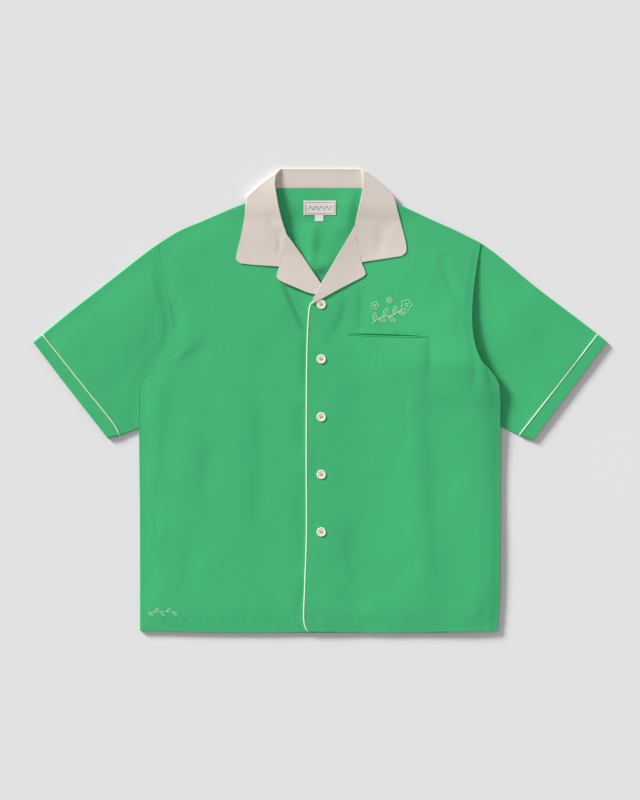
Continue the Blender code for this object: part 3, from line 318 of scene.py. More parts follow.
# Sections of the collar: shares from the stand's seam to the roll, and from there to the edge
STAND_COLUMNS = (1.0, 0.98, 0.55, 0.22)
BACK_STAND_COLUMNS = (1.0, 0.985, 0.12, 0.009)
COLLAR_COLUMNS = (0.0, 0.005, 0.035, 0.11, 0.28, 0.50, 0.72, 0.88, 0.992, 1.0)
BACK_ROWS_X = (-0.040, -0.014, 0.014, 0.040)
GORGE_ROWS = 6
LEAF_ROWS = 9
END_SHARE = 0.003  # narrow rows beside the end of a leaf and beside the fold over the shoulder
FOLD_SHARE = 0.012
SHOULDER_FOLD = 0.0003  # rounding of the fold over the shoulder
FALL_INSET = 0.0030  # the fall under a leaf stays this far inside its fold
SHOULDER_SKIP = 2  # points of that fold left out beside the roll
FALL_SKIP = 6  # points of the fall left out beside the roll
FALL_DRAW_IN = 0.0030
SEAM_AT_FOLD = 0.0725
SEAM_IN_FALL = 0.0690
SEAM_SPREAD = 1.1
ROLL_AT_FOLD = 0.0040
ROLL_IN_FALL = 0.0024
ROLL_AT_BACK = 0.0028
FOLD_EDGE = [(0.0, 0.0042), (0.1, 0.0046), (1.0, 0.0048)]  # share and height
FALL_SPREAD = 4.2  # the fall's edge runs wider than the roll, by share of length for each metre
ROLL_REACH = 0.075  # the collar sinks from its roll over this width
ROLL_SHAPE = 1.5
LIFT_FADE = 0.6  # and this share of the lift is gone at that width
ROLL_EDGE_SHARE = 0.94  # height of the folded edge between the stand and the leaf
STAND_REACH = 1.25  # the stand's seam runs out before the roll does
STAND_TURN = 0.22
STAND_LIFTS = (0.0, 0.0, 0.0004, 0.0007)
STAND_LEVEL = CLOTH / 2 + CLOTH + GAP  # the stand's heights behind the neck and at its corners
STAND_ON_BACK = [STAND_LEVEL + rise for rise in (0.0003, 0.0004, 0.0008, 0.0010)]
STAND_AT_CORNER = [STAND_LEVEL + rise for rise in (0.0003, 0.0004, 0.0014, 0.0021)]
LAPEL_EDGE_ROLL = 0.0003
LAPEL_COLUMNS = (0.0, 0.012, 0.04, 0.10, 0.22, 0.40, 0.60, 0.80, 1.0)
LAPEL_END_SHARE = 0.004  # narrow cells beside its outer edges
LAPEL_ROWS = 61
LAPEL_FINE = 5  # cells for each of its columns
LAPEL_INSET = 0.0002  # beside the gorge
GORGE_SKIP = 4  # points of the gorge left out beside the roll
LAPEL_LOW_RIGHT = 0.0032  # height of a lapel's rounded edge at the break
LAPEL_LOW_LEFT = 0.0053

# Broad folds and fine creases: each runs from (x0, y0) to (x1, y1), bowed sideways in its middle,
# with a bell-shaped section. Ridges stand up and troughs (negative heights) go down.
Fold = namedtuple("Fold", "x0 y0 x1 y1 bow width height")


def folds(*rows):
    """Folds from rows in millimetres."""
    return [Fold(*metres(row)) for row in rows]


FRONT_FOLDS = folds(
    (162, -40, 176, -340, 4, 24, 0.8), (180, 118, 208, -370, -9, 20, -1.6),
    (173.5, 98, 172, 30, 1, 8, -0.6), (173, 101, 177, 46, 1, 3.5, -0.45),
    (186, -130, 196, -370, 0, 32, 0.9), (140, 2, 275, -2, 0, 27, 1.6),
    (138, 20, 166, -330, 4, 18, 0.4), (190, 230, 236, 134, -2, 7, -1.2),
    (206, 232, 246, 150, -4, 9, 0.6), (208, 241, 235, 196, -2, 6, -0.42),
    (50, 160, 9, 86, 3, 10, -0.9), (65, 182, 64, 112, 1, 5, -0.75),
    (37, 164, 36, 137, 1, 4, -0.34), (42, -210, 52, -300, 3, 8, -0.5),
    (51, -276, 117, -311, -8, 12, -0.6), (29, -311, 75, -340, 2, 8, -0.6),
    (262, 60, 276, 14, 3, 5, -0.76), (243, 84, 246, 17, 2, 4, -0.48),
    (254, 80, 262, 20, 2, 6, 0.4), (251, -340, 285, -362, 2, 6, -0.68),
    (260, -334, 290, -352, 2, 6, 0.5), (-84, 184, -40, 90, 3, 10, 0.3),
    (-232, 30, -262, -200, 0, 12, -0.55), (-176, 20, -187, -210, 2, 11, -0.42),
    (-206, -20, -214, -230, 3, 13, 0.3), (-97, 30, -96, -250, 3, 14, -0.7),
    (-134, 10, -132, -250, 3, 18, 0.4), (-206, -190, -216, -310, 0, 10, -0.5),
    (-264, -180, -262, -226, 1, 3, -0.3), (-262, 56, -196, 84, 2, 10, 0.3),
    (-178, 92, -252, 40, 0, 9, -0.7), (-226, 78, -248, 68, 1, 4, -0.4),
    (-240, 160, -226, 110, 3, 5, -0.37), (-16, -98, -6, -110, 1, 2.5, -0.41),
    (-16, -190, -6, -202, 1, 2.5, -0.41),
)
UNDER_FOLDS = folds(  # on the front underneath only, where the other one laps over it
    (-62, 200, -14, 94, 0, 5.5, -2.4), (-48, 200, 0, 94, 0, 8, -2),
    (-20.5, 100, -20.5, 18, 0, 7.5, -1.2), (-24, -4, -25, -85, 1, 13, -1),
    (-23, -120, -26, -275, 1, 13, -0.7), (-18, -280, -34, -350, 1, 10, -1.2),
)
SLEEVE_FOLDS = folds(
    (-292, 34, -300, -48, 2, 8, -1.5), (-281, 22, -288, -40, 2, 5, -0.9),
    (-268, 190, -330, 60, 12, 16, 0.59), (-330, 150, -390, 60, 6, 18, -0.59),
    (-292, 60, -350, 20, 6, 10, -0.59), (300, 50, 338, -30, -6, 12, -0.85),
    (276, 200, 334, 70, -12, 16, 0.59), (330, 150, 392, 64, -6, 18, -0.59),
    (352, 120, 372, 40, -4, 8, -0.31),
)
BACK_FOLDS = folds(
    (-10, 284, -18, 212, 1, 8, 2), (20, 212, -30, 214, 0, 8, 2.9), (30, 300, 18, 236, 3, 8, 0.6),
    (51, 338, 40, 262, 2, 8, 2), (-30, 262, -18, 226, 2, 5, -0.6), (6, 212, 2, 178, 0, 4.5, -2),
    (-12, 206, 6, 180, 0, 3, -1.2),
)
COLLAR_FOLDS = folds(
    (96, 292, 92, 232, 2, 5, -0.59), (109, 292, 107, 266, 1, 4, -0.34),
    (-70, 276, -64, 236, 2, 4.5, -0.9), (-82, 300, -78, 246, 2, 6, -0.5),
)
GATHER_PITCH = 5.2
POCKET_GATHERS = folds(*(
    (66 + GATHER_PITCH * n, 112, 67 + GATHER_PITCH * n, 126 + 4 * (n % 3), 0.5, 1.4, -0.22)
    for n in range(8)
))

# Motifs: generic ones in place of the embroidery
Leaf = namedtuple("Leaf", "share turn length")
Blossom = namedtuple("Blossom", "x y radius")
STEM = path((82, 122.5), (99, 133.5), (118, 137), (133, 147))
LEAVES = [
    Leaf(0.12, 0.9, 0.0140), Leaf(0.24, -0.8, 0.0135), Leaf(0.40, 0.9, 0.0150),
    Leaf(0.54, -0.8, 0.0145), Leaf(0.70, 0.95, 0.0140), Leaf(0.84, -0.8, 0.0125),
]
BLOSSOMS = [
    Blossom(0.1385, 0.1530, 0.0092), Blossom(0.0880, 0.1520, 0.0066),
    Blossom(0.1110, 0.1600, 0.0050),
]
PETALS = 5
PETAL_POINTS = 12
PETAL_DEPTH = 0.38  # share of its radius that a flower draws in between two petals
EYE_SHARE = 0.3
STEM_STEP = 0.02  # share of the stem over which its direction is taken
LEAF_POINTS = 13
LEAF_BULGE = 0.24  # half width of a leaf for its length
LEAF_RIB = 0.72
HEM_MOTIF = Box(-0.2750, -0.2270, -0.3460, -0.3300)
HEM_LEAVES = 5
HEM_LEAF_START = 0.15  # share of the room for one leaf
HEM_LEAF_OFF = 0.001
HEM_LEAF_TURN = 0.7
HEM_LEAF_LENGTH = 0.0078
GROUND_DIPS = (-0.0012, 0.0008, -0.0006)
LABEL_INSET = 0.0026
ZIGZAG_INSET = 2.4 * LABEL_INSET
ZIGZAG_POINTS = 10
ZIGZAG_HEIGHT = 0.0034
DASH_UP = 0.0022
DASH_HALF = 0.0010

# Stitches: how far apart they are, and how much of that is thread
STEM_PITCH = 0.0021
LEAF_PITCH = 0.0019
SMALL_PITCH = 0.0016  # petals, and leaves at the hem
EYE_PITCH = 0.0012
HEM_PITCH = 0.0026
FRAME_PITCH = 0.0014
ZIGZAG_PITCH = 0.0013
STITCH_FILL = 0.8
WOVEN_FILL = 0.9
# and the thread's radius
HEM_THREAD = 0.00010
HOLE_THREAD = 0.00018
SEWING_THREAD = 0.00028
SMALL_THREAD = 0.00034
LABEL_THREAD = 0.00036
SPRIG_THREAD = 0.00050
HEM_STITCHED_RIGHT = (-0.286, -0.028)  # from x to x
HEM_STITCHED_LEFT = (-0.020, 0.282)
HEM_POINTS = 60
# One stitch: stations along it, with its width and its rise in radii
STATIONS = np.array([0.0, 0.12, 0.35, 0.65, 0.88, 1.0])
STATION_WIDTH = np.array([0.35, 0.80, 1.00, 1.00, 0.80, 0.35])
STATION_LIFT = np.array([-0.9, -0.1, 0.35, 0.35, -0.1, -0.9])
STITCH_SIDES = 6

# Buttons: the turned profile from the foot over the rim, and the thread holes
Turned = namedtuple("Turned", "radius height")
BUTTON_PROFILE = [Turned(*metres(row)) for row in (
    (0, 0), (5.8, 0), (6.8, 0.3), (7.4, 0.9), (7.5, 1.4), (7.3, 2), (6.9, 2.3), (6.4, 2.4),
    (5.8, 2.35), (5.2, 2.1), (4.6, 2), (3, 1.9), (0, 1.9),
)]
BUTTON_RADIUS = max(turned.radius for turned in BUTTON_PROFILE)
BUTTON_STEPS = 64
BUTTON_CREASE = 38.0  # degrees from which an edge looks sharp
MERGE_WITHIN = 0.00001
RING_POINTS = 25  # round a button, where the cloth's height is taken
HOLE_RADIUS = 0.0008
HOLE_OFFSET = 0.0019
HOLE_SIDES = 20
HOLE_DEPTH = 0.008
HOLE_MIDDLE = 0.001
STRANDS = (-0.00022, 0.0, 0.00022)  # threads side by side in a pair of holes
STRAND_LEVEL = 0.0022  # over the button's foot
# Buttonhole: a stitched bar at each end, and a row of stitches along each side
TACKS = 5
TACK_FROM = 0.0079
TACK_STEP = 0.0003
TACK_HALF = 0.0012
SIDE_TACKS = 44
SIDE_TACK_FROM = 0.0078
SIDE_TACK_STEP = 0.00036
SIDE_TACK_OFF = 0.0007
SIDE_TACK_HALF = 0.0005

# The cut of each sheet of cloth: what shows of it, all round on a tube. The depth of the pocket's
# lips is the least that a sheet may state.
Cut = namedtuple("Cut", "node width length held rests_on")

# Colours (linear) and light
GREEN = (0.035, 0.461, 0.168)
CREAM = (0.712, 0.634, 0.567)
CORD_GREEN = (0.640, 0.800, 0.610)
TAPE = (0.800, 0.780, 0.740)
RESIN = (0.860, 0.800, 0.680)
GREEN_THREAD = (0.058, 0.478, 0.192)
PALE_THREAD = (0.680, 0.860, 0.600)
BUTTON_THREAD = (0.400, 0.235, 0.190)
FIBRE_COLOUR = (0.97, 0.97, 0.97)  # these two are multiplied with another colour
GRAIN_COLOUR = (0.98, 0.98, 0.98)
LABEL_RED = (0.620, 0.110, 0.130)
LABEL_GREY = (0.090, 0.100, 0.115)
FLOOR_COLOUR = (0.800, 0.800, 0.800)
# Soft noise in the colours: features a metre, share by which the colour varies, and octaves
Shades = namedtuple("Shades", "scale spread detail")
DYE = Shades(13.0, 0.022, 2.0)
FIBRE = Shades(1500.0, 0.025, 3.0)
THREAD_SHADES = Shades(900.0, 0.10, 2.0)
RESIN_CLOUD = Shades(260.0, 0.05, 4.0)
RESIN_GRAIN = Shades(2600.0, 0.02, 2.0)
FLOOR_SHADES = Shades(3.0, 0.006, 2.0)
SHADE_RANGE = (0.3, 0.7)  # values of the noise that give the darkest and the lightest shade
POPLIN = 0.00045  # widths of threads
SATIN = 0.00040
TAPE_WEAVE = 0.00030
WEFT_SCALE = 0.7  # weft threads are wider than the warp's
THREAD_RELIEF = 0.25  # height of a woven thread for its width
TWIST_SCALE = 900.0
TWIST_RELIEF = 0.00006
WEAR_SCALE = 1800.0
WEAR_RELIEF = 0.00005
KEY_HEIGHT = 17.0  # degrees above the floor
KEY_TURN = 138.0  # degrees round from +X, so from the upper left
KEY_SOFTNESS = 13.0  # degrees that it spans
KEY_STRENGTH = 5.6
KEY_COLOUR = (1.0, 1.0, 1.0)
FILL_COLOUR = (1.0, 1.0, 1.0)
FILL_STRENGTH = 0.427
PHOTO_HEIGHT = 1.28
PHOTO_MIDDLE_Y = 0.0012
GARMENT_Z = 0.004  # height at which the photo spans PHOTO_HEIGHT
LENS = 85.0
SENSOR = 36.0
FLOOR_REACH = 20.0


def smooth(t):
    """0 below 0 and 1 above 1, with a soft S between them."""
    t = np.clip(t, 0.0, 1.0)
    return t * t * (3.0 - 2.0 * t)


def rounded(t):
    """0 below 0 and 1 above 1, with a quarter of a circle between them."""
    return np.sqrt(1 - (1 - np.clip(t, 0.0, 1.0)) ** 2)


def running(lengths):
    """Running totals, from 0."""
    return np.concatenate([[0.0], np.cumsum(lengths)])


def step_lengths(line):
    return np.linalg.norm(np.diff(line, axis=0), axis=1)


def split(plan):
    """x and y of plan points."""
    return plan[..., 0], plan[..., 1]


def soft_curve(points, steps=16):
    """A dense line through the points, without corners, that overshoots none of them."""
    p = np.array(points, float)
    spans = np.sqrt(np.maximum(step_lengths(p), SHORTEST_STEP))
    slopes = np.diff(p, axis=0) / spans[:, None]
    tangents = np.empty_like(p)
    tangents[0] = slopes[0]
    tangents[-1] = slopes[-1]
    weight = spans[:-1] / (spans[:-1] + spans[1:])
    tangents[1:-1] = slopes[:-1] * (1 - weight)[:, None] + slopes[1:] * weight[:, None]
    line = [p[:1]]
    t = np.linspace(0.0, 1.0, steps + 1)[1:, None]
    for i, span in enumerate(spans):
        line.append(
            (2 * t**3 - 3 * t**2 + 1) * p[i]
            + (t**3 - 2 * t**2 + t) * span * tangents[i]
            + (3 * t**2 - 2 * t**3) * p[i + 1]
            + (t**3 - t**2) * span * tangents[i + 1]
        )
    return np.concatenate(line)


def along(line, shares):
    """Points at shares of the line's length."""
    lengths = running(step_lengths(line))
    at = np.asarray(shares) * lengths[-1]
    return np.stack([np.interp(at, lengths, line[:, k]) for k in range(line.shape[1])], axis=-1)


def distance_to(line, x, y):
    """Distance in plan from each point to the line."""
    start = line[:-1]
    step = np.diff(line, axis=0)
    dx = x[..., None] - start[:, 0]
    dy = y[..., None] - start[:, 1]
    t = np.clip((dx * step[:, 0] + dy * step[:, 1]) / (step**2).sum(axis=1), 0.0, 1.0)
    return np.hypot(dx - t * step[:, 0], dy - t * step[:, 1]).min(axis=-1)


def moved_in(line, amount, centre):
    """The line moved sideways by amount, towards the side that the centre is on."""
    step = np.gradient(line, axis=0)
    normal = np.stack([-step[:, 1], step[:, 0]], axis=1)
    normal /= np.linalg.norm(normal, axis=1)[:, None]
    side = np.sign(((np.array(centre) - line) * normal).sum(axis=1))
    return line + normal * (side * amount)[:, None]


def towards(centre, side):
    """The centre in the half that is meant: side is 1 on the wearer's left and -1 on the right."""
    return side * centre[0], centre[1]


def patch(bottom, top, first, last, across, up):
    """Plan points filling four edges: bottom and top run across, first and last run up."""
    u = np.asarray(across)[None, :, None]
    v = np.asarray(up)[:, None, None]
    low = along(bottom, across)[None]
    high = along(top, across)[None]
    near = along(first, up)[:, None]
    far = along(last, up)[:, None]
    corners = (
        (1 - u) * (1 - v) * low[:, :1] + u * (1 - v) * low[:, -1:]
        + (1 - u) * v * high[:, :1] + u * v * high[:, -1:]
    )
    return (1 - v) * low + v * high + (1 - u) * near + u * far - corners


def swell(t):
    """A full hump over the share t, 0 at both ends."""
    return np.sin(np.pi * t) ** FULLNESS


def fold_height(table, x, y):
    """Sum of the folds at the points: a leaning bell across each, fading towards its ends."""
    height = np.zeros_like(x)
    for fold in table:
        run = np.array([fold.x1 - fold.x0, fold.y1 - fold.y0])
        length = np.hypot(*run)
        run /= length
        t = ((x - fold.x0) * run[0] + (y - fold.y0) * run[1]) / length
        inside = np.clip(t, 0.0, 1.0)
        off = (y - fold.y0) * run[0] - (x - fold.x0) * run[1]
        off -= fold.bow * 4 * inside * (1 - inside)
        beyond = (t - inside) * length
        lean = np.where(off * fold.height < 0, FOLD_LEAN, 1.0)
        bell = np.exp(-((off / lean) ** 2 + beyond**2) / fold.width**2)
        height += fold.height * bell * swell(inside)
    return height


def fractions(near, count, length, far=None):
    """Fractions from 0 to 1: given distances in from both edges, and count even steps between."""
    first = [distance / length for distance in near]
    last = [1 - distance / length for distance in reversed(far or near)]
    return np.concatenate([first[:-1], np.linspace(first[-1], last[0], count + 1), last[1:]])


def with_end_rows(share, count):
    """count even fractions, with one narrow row more of the given share at each end."""
    return np.concatenate([[0.0], np.linspace(share, 1 - share, count), [1.0]])


def waves(x, y, kind):
    """Soft unevenness: long waves with their crests mostly up and down the shirt."""
    random = np.random.default_rng(kind.seed)
    y = y * kind.squash
    total = np.zeros_like(x)
    for _ in range(kind.count):
        angle = random.normal(0.0, WAVE_SPREAD)
        length = random.uniform(kind.shortest, kind.longest)
        phase = random.uniform(0.0, 2 * np.pi)
        total += np.sin((x * np.cos(angle) + y * np.sin(angle)) * 2 * np.pi / length + phase)
    return total * kind.height / math.sqrt(kind.count)


# The same lines in small steps
RIM_RIGHT = soft_curve(SIDE_RIGHT)
RIM_LEFT = soft_curve(SIDE_LEFT)
ARMHOLE_RIGHT = RIM_RIGHT[RIM_RIGHT[:, 1] > SLEEVE_RIGHT["under"][0].y]
ARMHOLE_LEFT = RIM_LEFT[RIM_LEFT[:, 1] > SLEEVE_LEFT["under"][0].y]
TOP_RIGHT = soft_curve(SHOULDER_RIGHT)
TOP_LEFT = soft_curve(SHOULDER_LEFT)
HEM = soft_curve([SIDE_RIGHT[0], HEM_MIDDLE, SIDE_LEFT[0]])
HEM_FRONTS = np.concatenate([
    soft_curve([SIDE_RIGHT[0], HEM_RIGHT, PLACKET_LINE[0]]),
    soft_curve([CORD_LINE[0], HEM_LEFT, SIDE_LEFT[0]]),
])
FALL_LINE = soft_curve(FALL_EDGE)
SLIT_LINE = soft_curve(POCKET_SLIT)


def back_z(x, y):
    """Underside of the back: on the floor, and raised over the collar's fall behind the neck."""
    edge = np.interp(np.abs(x), *zip(*FALL_FROM_MIDDLE))
    rise = smooth((y - edge + FALL_RISE_FROM) / FALL_RISE_LENGTH)
    rise = rise * (1 - smooth((np.abs(x) - FALL_HALF_WIDTH) / FALL_RISE_SIDE))
    return (CLOTH + GAP) * rise


def back_top(x, y):
    soft = fold_height(BACK_FOLDS, x, y)
    return back_z(x, y) + CLOTH + np.maximum(soft, BACK_SHELL - CLOTH)


def hem_relief(x, y):
    """The turned hem: one more layer up to its stitches, which draw the cloth in a little."""
    up = y - np.interp(x, HEM[:, 0], HEM[:, 1])
    layer = HEM_LAYER * (1 - smooth((up - HEM_WIDTH + HEM_STEP / 2) / HEM_STEP))
    row = np.exp(-((up - HEM_WIDTH) / HEM_GROOVE_WIDTH) ** 2)
    near = np.exp(-((up - HEM_WIDTH) / HEM_PUCKER_WIDTH) ** 2)
    pucker = waves(x, y, HEM_WAVES) * near
    return layer - HEM_GROOVE * row + HEM_PUCKER * pucker


def front_top(x, y, under_folds=()):
    """Upper side of the fronts: soft over the back, and raised at the hem and the left side."""
    hem = distance_to(HEM_FRONTS, x, y)
    side = distance_to(RIM_LEFT, x, y)
    top = np.minimum(distance_to(TOP_RIGHT, x, y), distance_to(TOP_LEFT, x, y))
    edges = (hem, side, top, distance_to(RIM_RIGHT, x, y))
    puff = SIDE_PUFF * np.prod([smooth(edge / SIDE_PUFF_LENGTH) for edge in edges], axis=0)
    puff += DOME_PUFF * np.prod([smooth(edge / DOME_PUFF_LENGTH) for edge in edges], axis=0)
    armhole = np.minimum(distance_to(ARMHOLE_RIGHT, x, y), distance_to(ARMHOLE_LEFT, x, y))
    lift = ARMHOLE_RISE * (1 - smooth((armhole - ARMHOLE_LIFT) / ARMHOLE_LIFT_FADE))
    calm = smooth((np.hypot(x, y - NECK_MIDDLE_Y) - NECK_CALM) / NECK_CALM_FADE)
    near_hem = 1 - smooth(hem / HEM_RISE_LENGTH)
    near_side = 1 - smooth(side / SIDE_RISE_LENGTH)
    side_rise = np.interp(y, *soft_curve(SIDE_RISE).T)
    rise = HEM_RISE * near_hem * (1 - near_side) + side_rise * near_side
    rise -= np.minimum(side_rise, SIDE_DROP) * (1 - smooth(side / SIDE_DROP_LENGTH))
    soft = fold_height(FRONT_FOLDS, x, y) + waves(x, y, FRONT_WAVES) + waves(x, y, CRINKLE)
    puff *= NECK_PUFF_SHARE + (1 - NECK_PUFF_SHARE) * calm
    full = RIM_FULL + puff + rise + soft * calm + hem_relief(x, y)
    full += fold_height(under_folds, x, y)
    round_down = rounded(np.minimum.reduce(edges) / EDGE_ROLL)
    return back_z(x, y) + LAYER + lift + SHELL + np.maximum(full, 0.0) * round_down


def under_top(x, y):
    """The same for the front underneath, which dips beside the other one's edge."""
    return front_top(x, y, UNDER_FOLDS)


def lap_top(x, y):
    """The same for the front that laps over: raised beside its edge, and open at the pocket."""
    gathers = fold_height(POCKET_GATHERS, x, y)
    lap = LAP_RISE * (1 - smooth((x - LAP_FROM) / LAP_FADE))
    held = sum(np.exp(-((x - BUTTON_X) ** 2 + (y - button_y) ** 2) / BUTTON_DIP_WIDTH**2)
               for button_y in BUTTON_YS)
    return front_top(x, y) + gathers + lap - slit_dip(x, y) - BUTTON_DIP * held


def slit_share(x):
    """Position along the pocket's slit, 0 and 1 at its ends."""
    return np.clip((x - POCKET_SLIT[0].x) / (POCKET_SLIT[-1].x - POCKET_SLIT[0].x), 0.0, 1.0)


def slit_dip(x, y):
    open_here = swell(slit_share(x))
    across = distance_to(SLIT_LINE, x, y) / (SLIT_HALF_WIDTH + SLIT_GAPE)
    return SLIT_DEPTH * open_here * np.exp(-(across**4))


def sleeve_top(x, y, armhole, top_line, shape):
    """Outer height of a sleeve, which rises from its seam at the armhole to its full height."""
    off = np.maximum(distance_to(armhole, x, y) - SLEEVE_FLAT_WIDTH, 0.0)
    near = smooth(off / SLEEVE_NEAR_LENGTH)
    dip = shape["dip"] * np.interp(y, *zip(*SLEEVE_DIP_BY_Y))
    rise = (1 - dip) * smooth(off / SLEEVE_RISE_LENGTH) + dip * near
    soft = fold_height(SLEEVE_FOLDS, x, y) + waves(x, y, SLEEVE_WAVES)
    thin = SLEEVE_EDGE_THIN * (1 - smooth(distance_to(top_line, x, y) / SLEEVE_EDGE_LENGTH))
    full = np.maximum(SLEEVE_HEIGHT - shape["seam_height"] - thin + soft * near, 0.0)
    return shape["seam_height"] + full * rise


def with_heights(plan, heights):
    return np.concatenate([plan, heights[..., None]], axis=-1)


def placed(name, data):
    """A new object in the scene."""
    obj = bpy.data.objects.new(name, data)
    bpy.context.scene.collection.objects.link(obj)
    return obj


def with_values(shader_node, **inputs):
    """The node, with constant values for its named inputs (an underscore stands for a space)."""
    for name, value in inputs.items():
        shader_node.inputs[name.replace("_", " ")].default_value = value
    return shader_node


def node(tree, kind, settings=None, **inputs):
    """A shader node with its settings and its unlinked inputs."""
    made = tree.nodes.new(kind)
    for name, value in (settings or {}).items():
        setattr(made, name, value)
    return with_values(made, **inputs)


def shades(tree, vector, colour, scale, spread, detail):
    """The colour, varied by a soft noise of the given scale (in features a metre)."""
    noise = node(tree, "ShaderNodeTexNoise", Scale=scale, Detail=detail)
    tree.links.new(vector, noise.inputs["Vector"])
    ramp = node(tree, "ShaderNodeValToRGB")
    dark, light = ramp.color_ramp.elements
    dark.position, light.position = SHADE_RANGE
    dark.color = (*(c * (1 - spread) for c in colour), 1.0)
    light.color = (*(c * (1 + spread) for c in colour), 1.0)
    tree.links.new(noise.outputs["Fac"], ramp.inputs["Fac"])
    return ramp.outputs["Color"]


def multiplied(tree, first, second):
    """The product of two colours, which are inputs 6 and 7 and output 2 of a Mix node."""
    mix = node(tree, "ShaderNodeMix", {"data_type": "RGBA", "blend_type": "MULTIPLY"})
    mix.inputs[0].default_value = 1.0
    tree.links.new(first, mix.inputs[6])
    tree.links.new(second, mix.inputs[7])
    return mix.outputs[2]


def new_material(name):
    material = bpy.data.materials.new(name)
    material.use_nodes = True
    return material, material.node_tree, material.node_tree.nodes["Principled BSDF"]


def raised(tree, shader, relief, strength, distance):
    """Lets the shader's surface rise and fall with the relief."""
    bump = node(tree, "ShaderNodeBump", Strength=strength, Distance=distance)
    tree.links.new(relief, bump.inputs["Height"])
    tree.links.new(bump.outputs["Normal"], shader.inputs["Normal"])


def cloth_material(name, colour, thread, bump=0.22, sheen=0.25, mapped=True):
    """Plain-woven cloth: crossed threads of that width, fibres, and faint uneven dye."""
    material, tree, shader = new_material(name)
    if mapped:
        vector = node(tree, "ShaderNodeUVMap", {"uv_map": "cloth"}).outputs["UV"]
    else:
        vector = node(tree, "ShaderNodeTexCoord").outputs["Object"]
    dye = shades(tree, vector, colour, *DYE)
    fibre = shades(tree, vector, FIBRE_COLOUR, *FIBRE)
    tree.links.new(multiplied(tree, dye, fibre), shader.inputs["Base Color"])
    wave_scale = 2 * math.pi / (20 * thread)  # a Wave Texture of scale 1 repeats every pi / 10
    total = None
    for direction, width in (("X", 1.0), ("Y", WEFT_SCALE)):
        wave = node(
            tree, "ShaderNodeTexWave", {"wave_type": "BANDS", "bands_direction": direction},
            Scale=wave_scale * width, Distortion=0.6, Detail=1.0, Detail_Scale=1.5)
        tree.links.new(vector, wave.inputs["Vector"])
        if total is None:
            total = wave.outputs["Fac"]
        else:
            added = node(tree, "ShaderNodeMath", {"operation": "ADD"})
            tree.links.new(total, added.inputs[0])
            tree.links.new(wave.outputs["Fac"], added.inputs[1])
            total = added.outputs[0]
    raised(tree, shader, total, bump, thread * THREAD_RELIEF)
    with_values(shader, Roughness=0.8, Specular_IOR_Level=0.5, Sheen_Weight=sheen,
                Sheen_Roughness=0.5)
    return material


def thread_material(name, colour):
    """Twisted sewing or embroidery thread."""
    material, tree, shader = new_material(name)
    vector = node(tree, "ShaderNodeTexCoord").outputs["Object"]
    tree.links.new(shades(tree, vector, colour, *THREAD_SHADES), shader.inputs["Base Color"])
    twist = node(
        tree, "ShaderNodeTexWave", {"wave_type": "BANDS", "bands_direction": "DIAGONAL"},
        Scale=TWIST_SCALE, Distortion=1.0)
    tree.links.new(vector, twist.inputs["Vector"])
    raised(tree, shader, twist.outputs["Fac"], 0.35, TWIST_RELIEF)
    with_values(shader, Roughness=0.55, Sheen_Weight=0.25)
    return material


def resin_material(name, colour):
    """Cream resin with a faint cloudy grain and a soft polish."""
    material, tree, shader = new_material(name)
    vector = node(tree, "ShaderNodeTexCoord").outputs["Object"]
    cloud = shades(tree, vector, colour, *RESIN_CLOUD)
    grain = shades(tree, vector, GRAIN_COLOUR, *RESIN_GRAIN)
    tree.links.new(multiplied(tree, cloud, grain), shader.inputs["Base Color"])
    wear = node(tree, "ShaderNodeTexNoise", Scale=WEAR_SCALE, Detail=2.0)
    tree.links.new(vector, wear.inputs["Vector"])
    raised(tree, shader, wear.outputs["Fac"], 0.08, WEAR_RELIEF)
    with_values(shader, Roughness=0.34, Coat_Weight=0.25, Coat_Roughness=0.18)
    return material


def floor_material():
    material, tree, shader = new_material("floor_paper")
    vector = node(tree, "ShaderNodeTexCoord").outputs["Object"]
    tree.links.new(shades(tree, vector, FLOOR_COLOUR, *FLOOR_SHADES), shader.inputs["Base Color"])
    with_values(shader, Roughness=0.95, Specular_IOR_Level=0.0)
    return material


def shown(obj, slot, *nodes):
    """Lets a piece ride with the shirt and stand for its solids; its slot is not used."""
    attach(obj, "root")
    if nodes:
        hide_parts(*nodes)
    return obj


def smooth_object(name, mesh, work, material):
    """The object of a mesh, with the faces as they were left in the work on them."""
    work.to_mesh(mesh)
    work.free()
    mesh.shade_smooth()
    mesh.materials.append(material)
    return placed(name, mesh)


def grid_object(name, points, material, thickness=0.0, offset=-1.0, left_out=None, closed=False,
                uv=None):
    """A smooth sheet through a grid of points (rows, columns, xyz), with its map in metres."""
    rows, columns = points.shape[:2]
    index = np.arange(rows * columns).reshape(rows, columns)
    quads = np.stack([index[:-1, :-1], index[:-1, 1:], index[1:, 1:], index[1:, :-1]], axis=-1)
    quads = quads.reshape(-1, 4) if left_out is None else quads[~left_out]
    mesh = bpy.data.meshes.new(name)
    mesh.from_pydata(points.reshape(-1, 3).tolist(), [], quads.tolist())
    flat = (points[..., :2] if uv is None else uv).reshape(-1, 2)
    layer = mesh.uv_layers.new(name="cloth")
    layer.data.foreach_set("uv", flat[quads.ravel()].ravel().astype(np.float32))
    work = bmesh.new()
    work.from_mesh(mesh)
    if closed:
        bmesh.ops.remove_doubles(work, verts=work.verts, dist=TUBE_MERGE)
    loose = [vert for vert in work.verts if not vert.link_faces]
    bmesh.ops.delete(work, geom=loose, context="VERTS")
    work.normal_update()
    highest = max(work.faces, key=lambda face: face.calc_center_median().z)
    if highest.normal.z < 0:
        bmesh.ops.reverse_faces(work, faces=work.faces)
    obj = smooth_object(name, mesh, work, material)
    if thickness:
        wall = obj.modifiers.new("Cloth", "SOLIDIFY")
        wall.thickness = thickness
        wall.offset = offset
        wall.use_quality_normals = True
    return obj


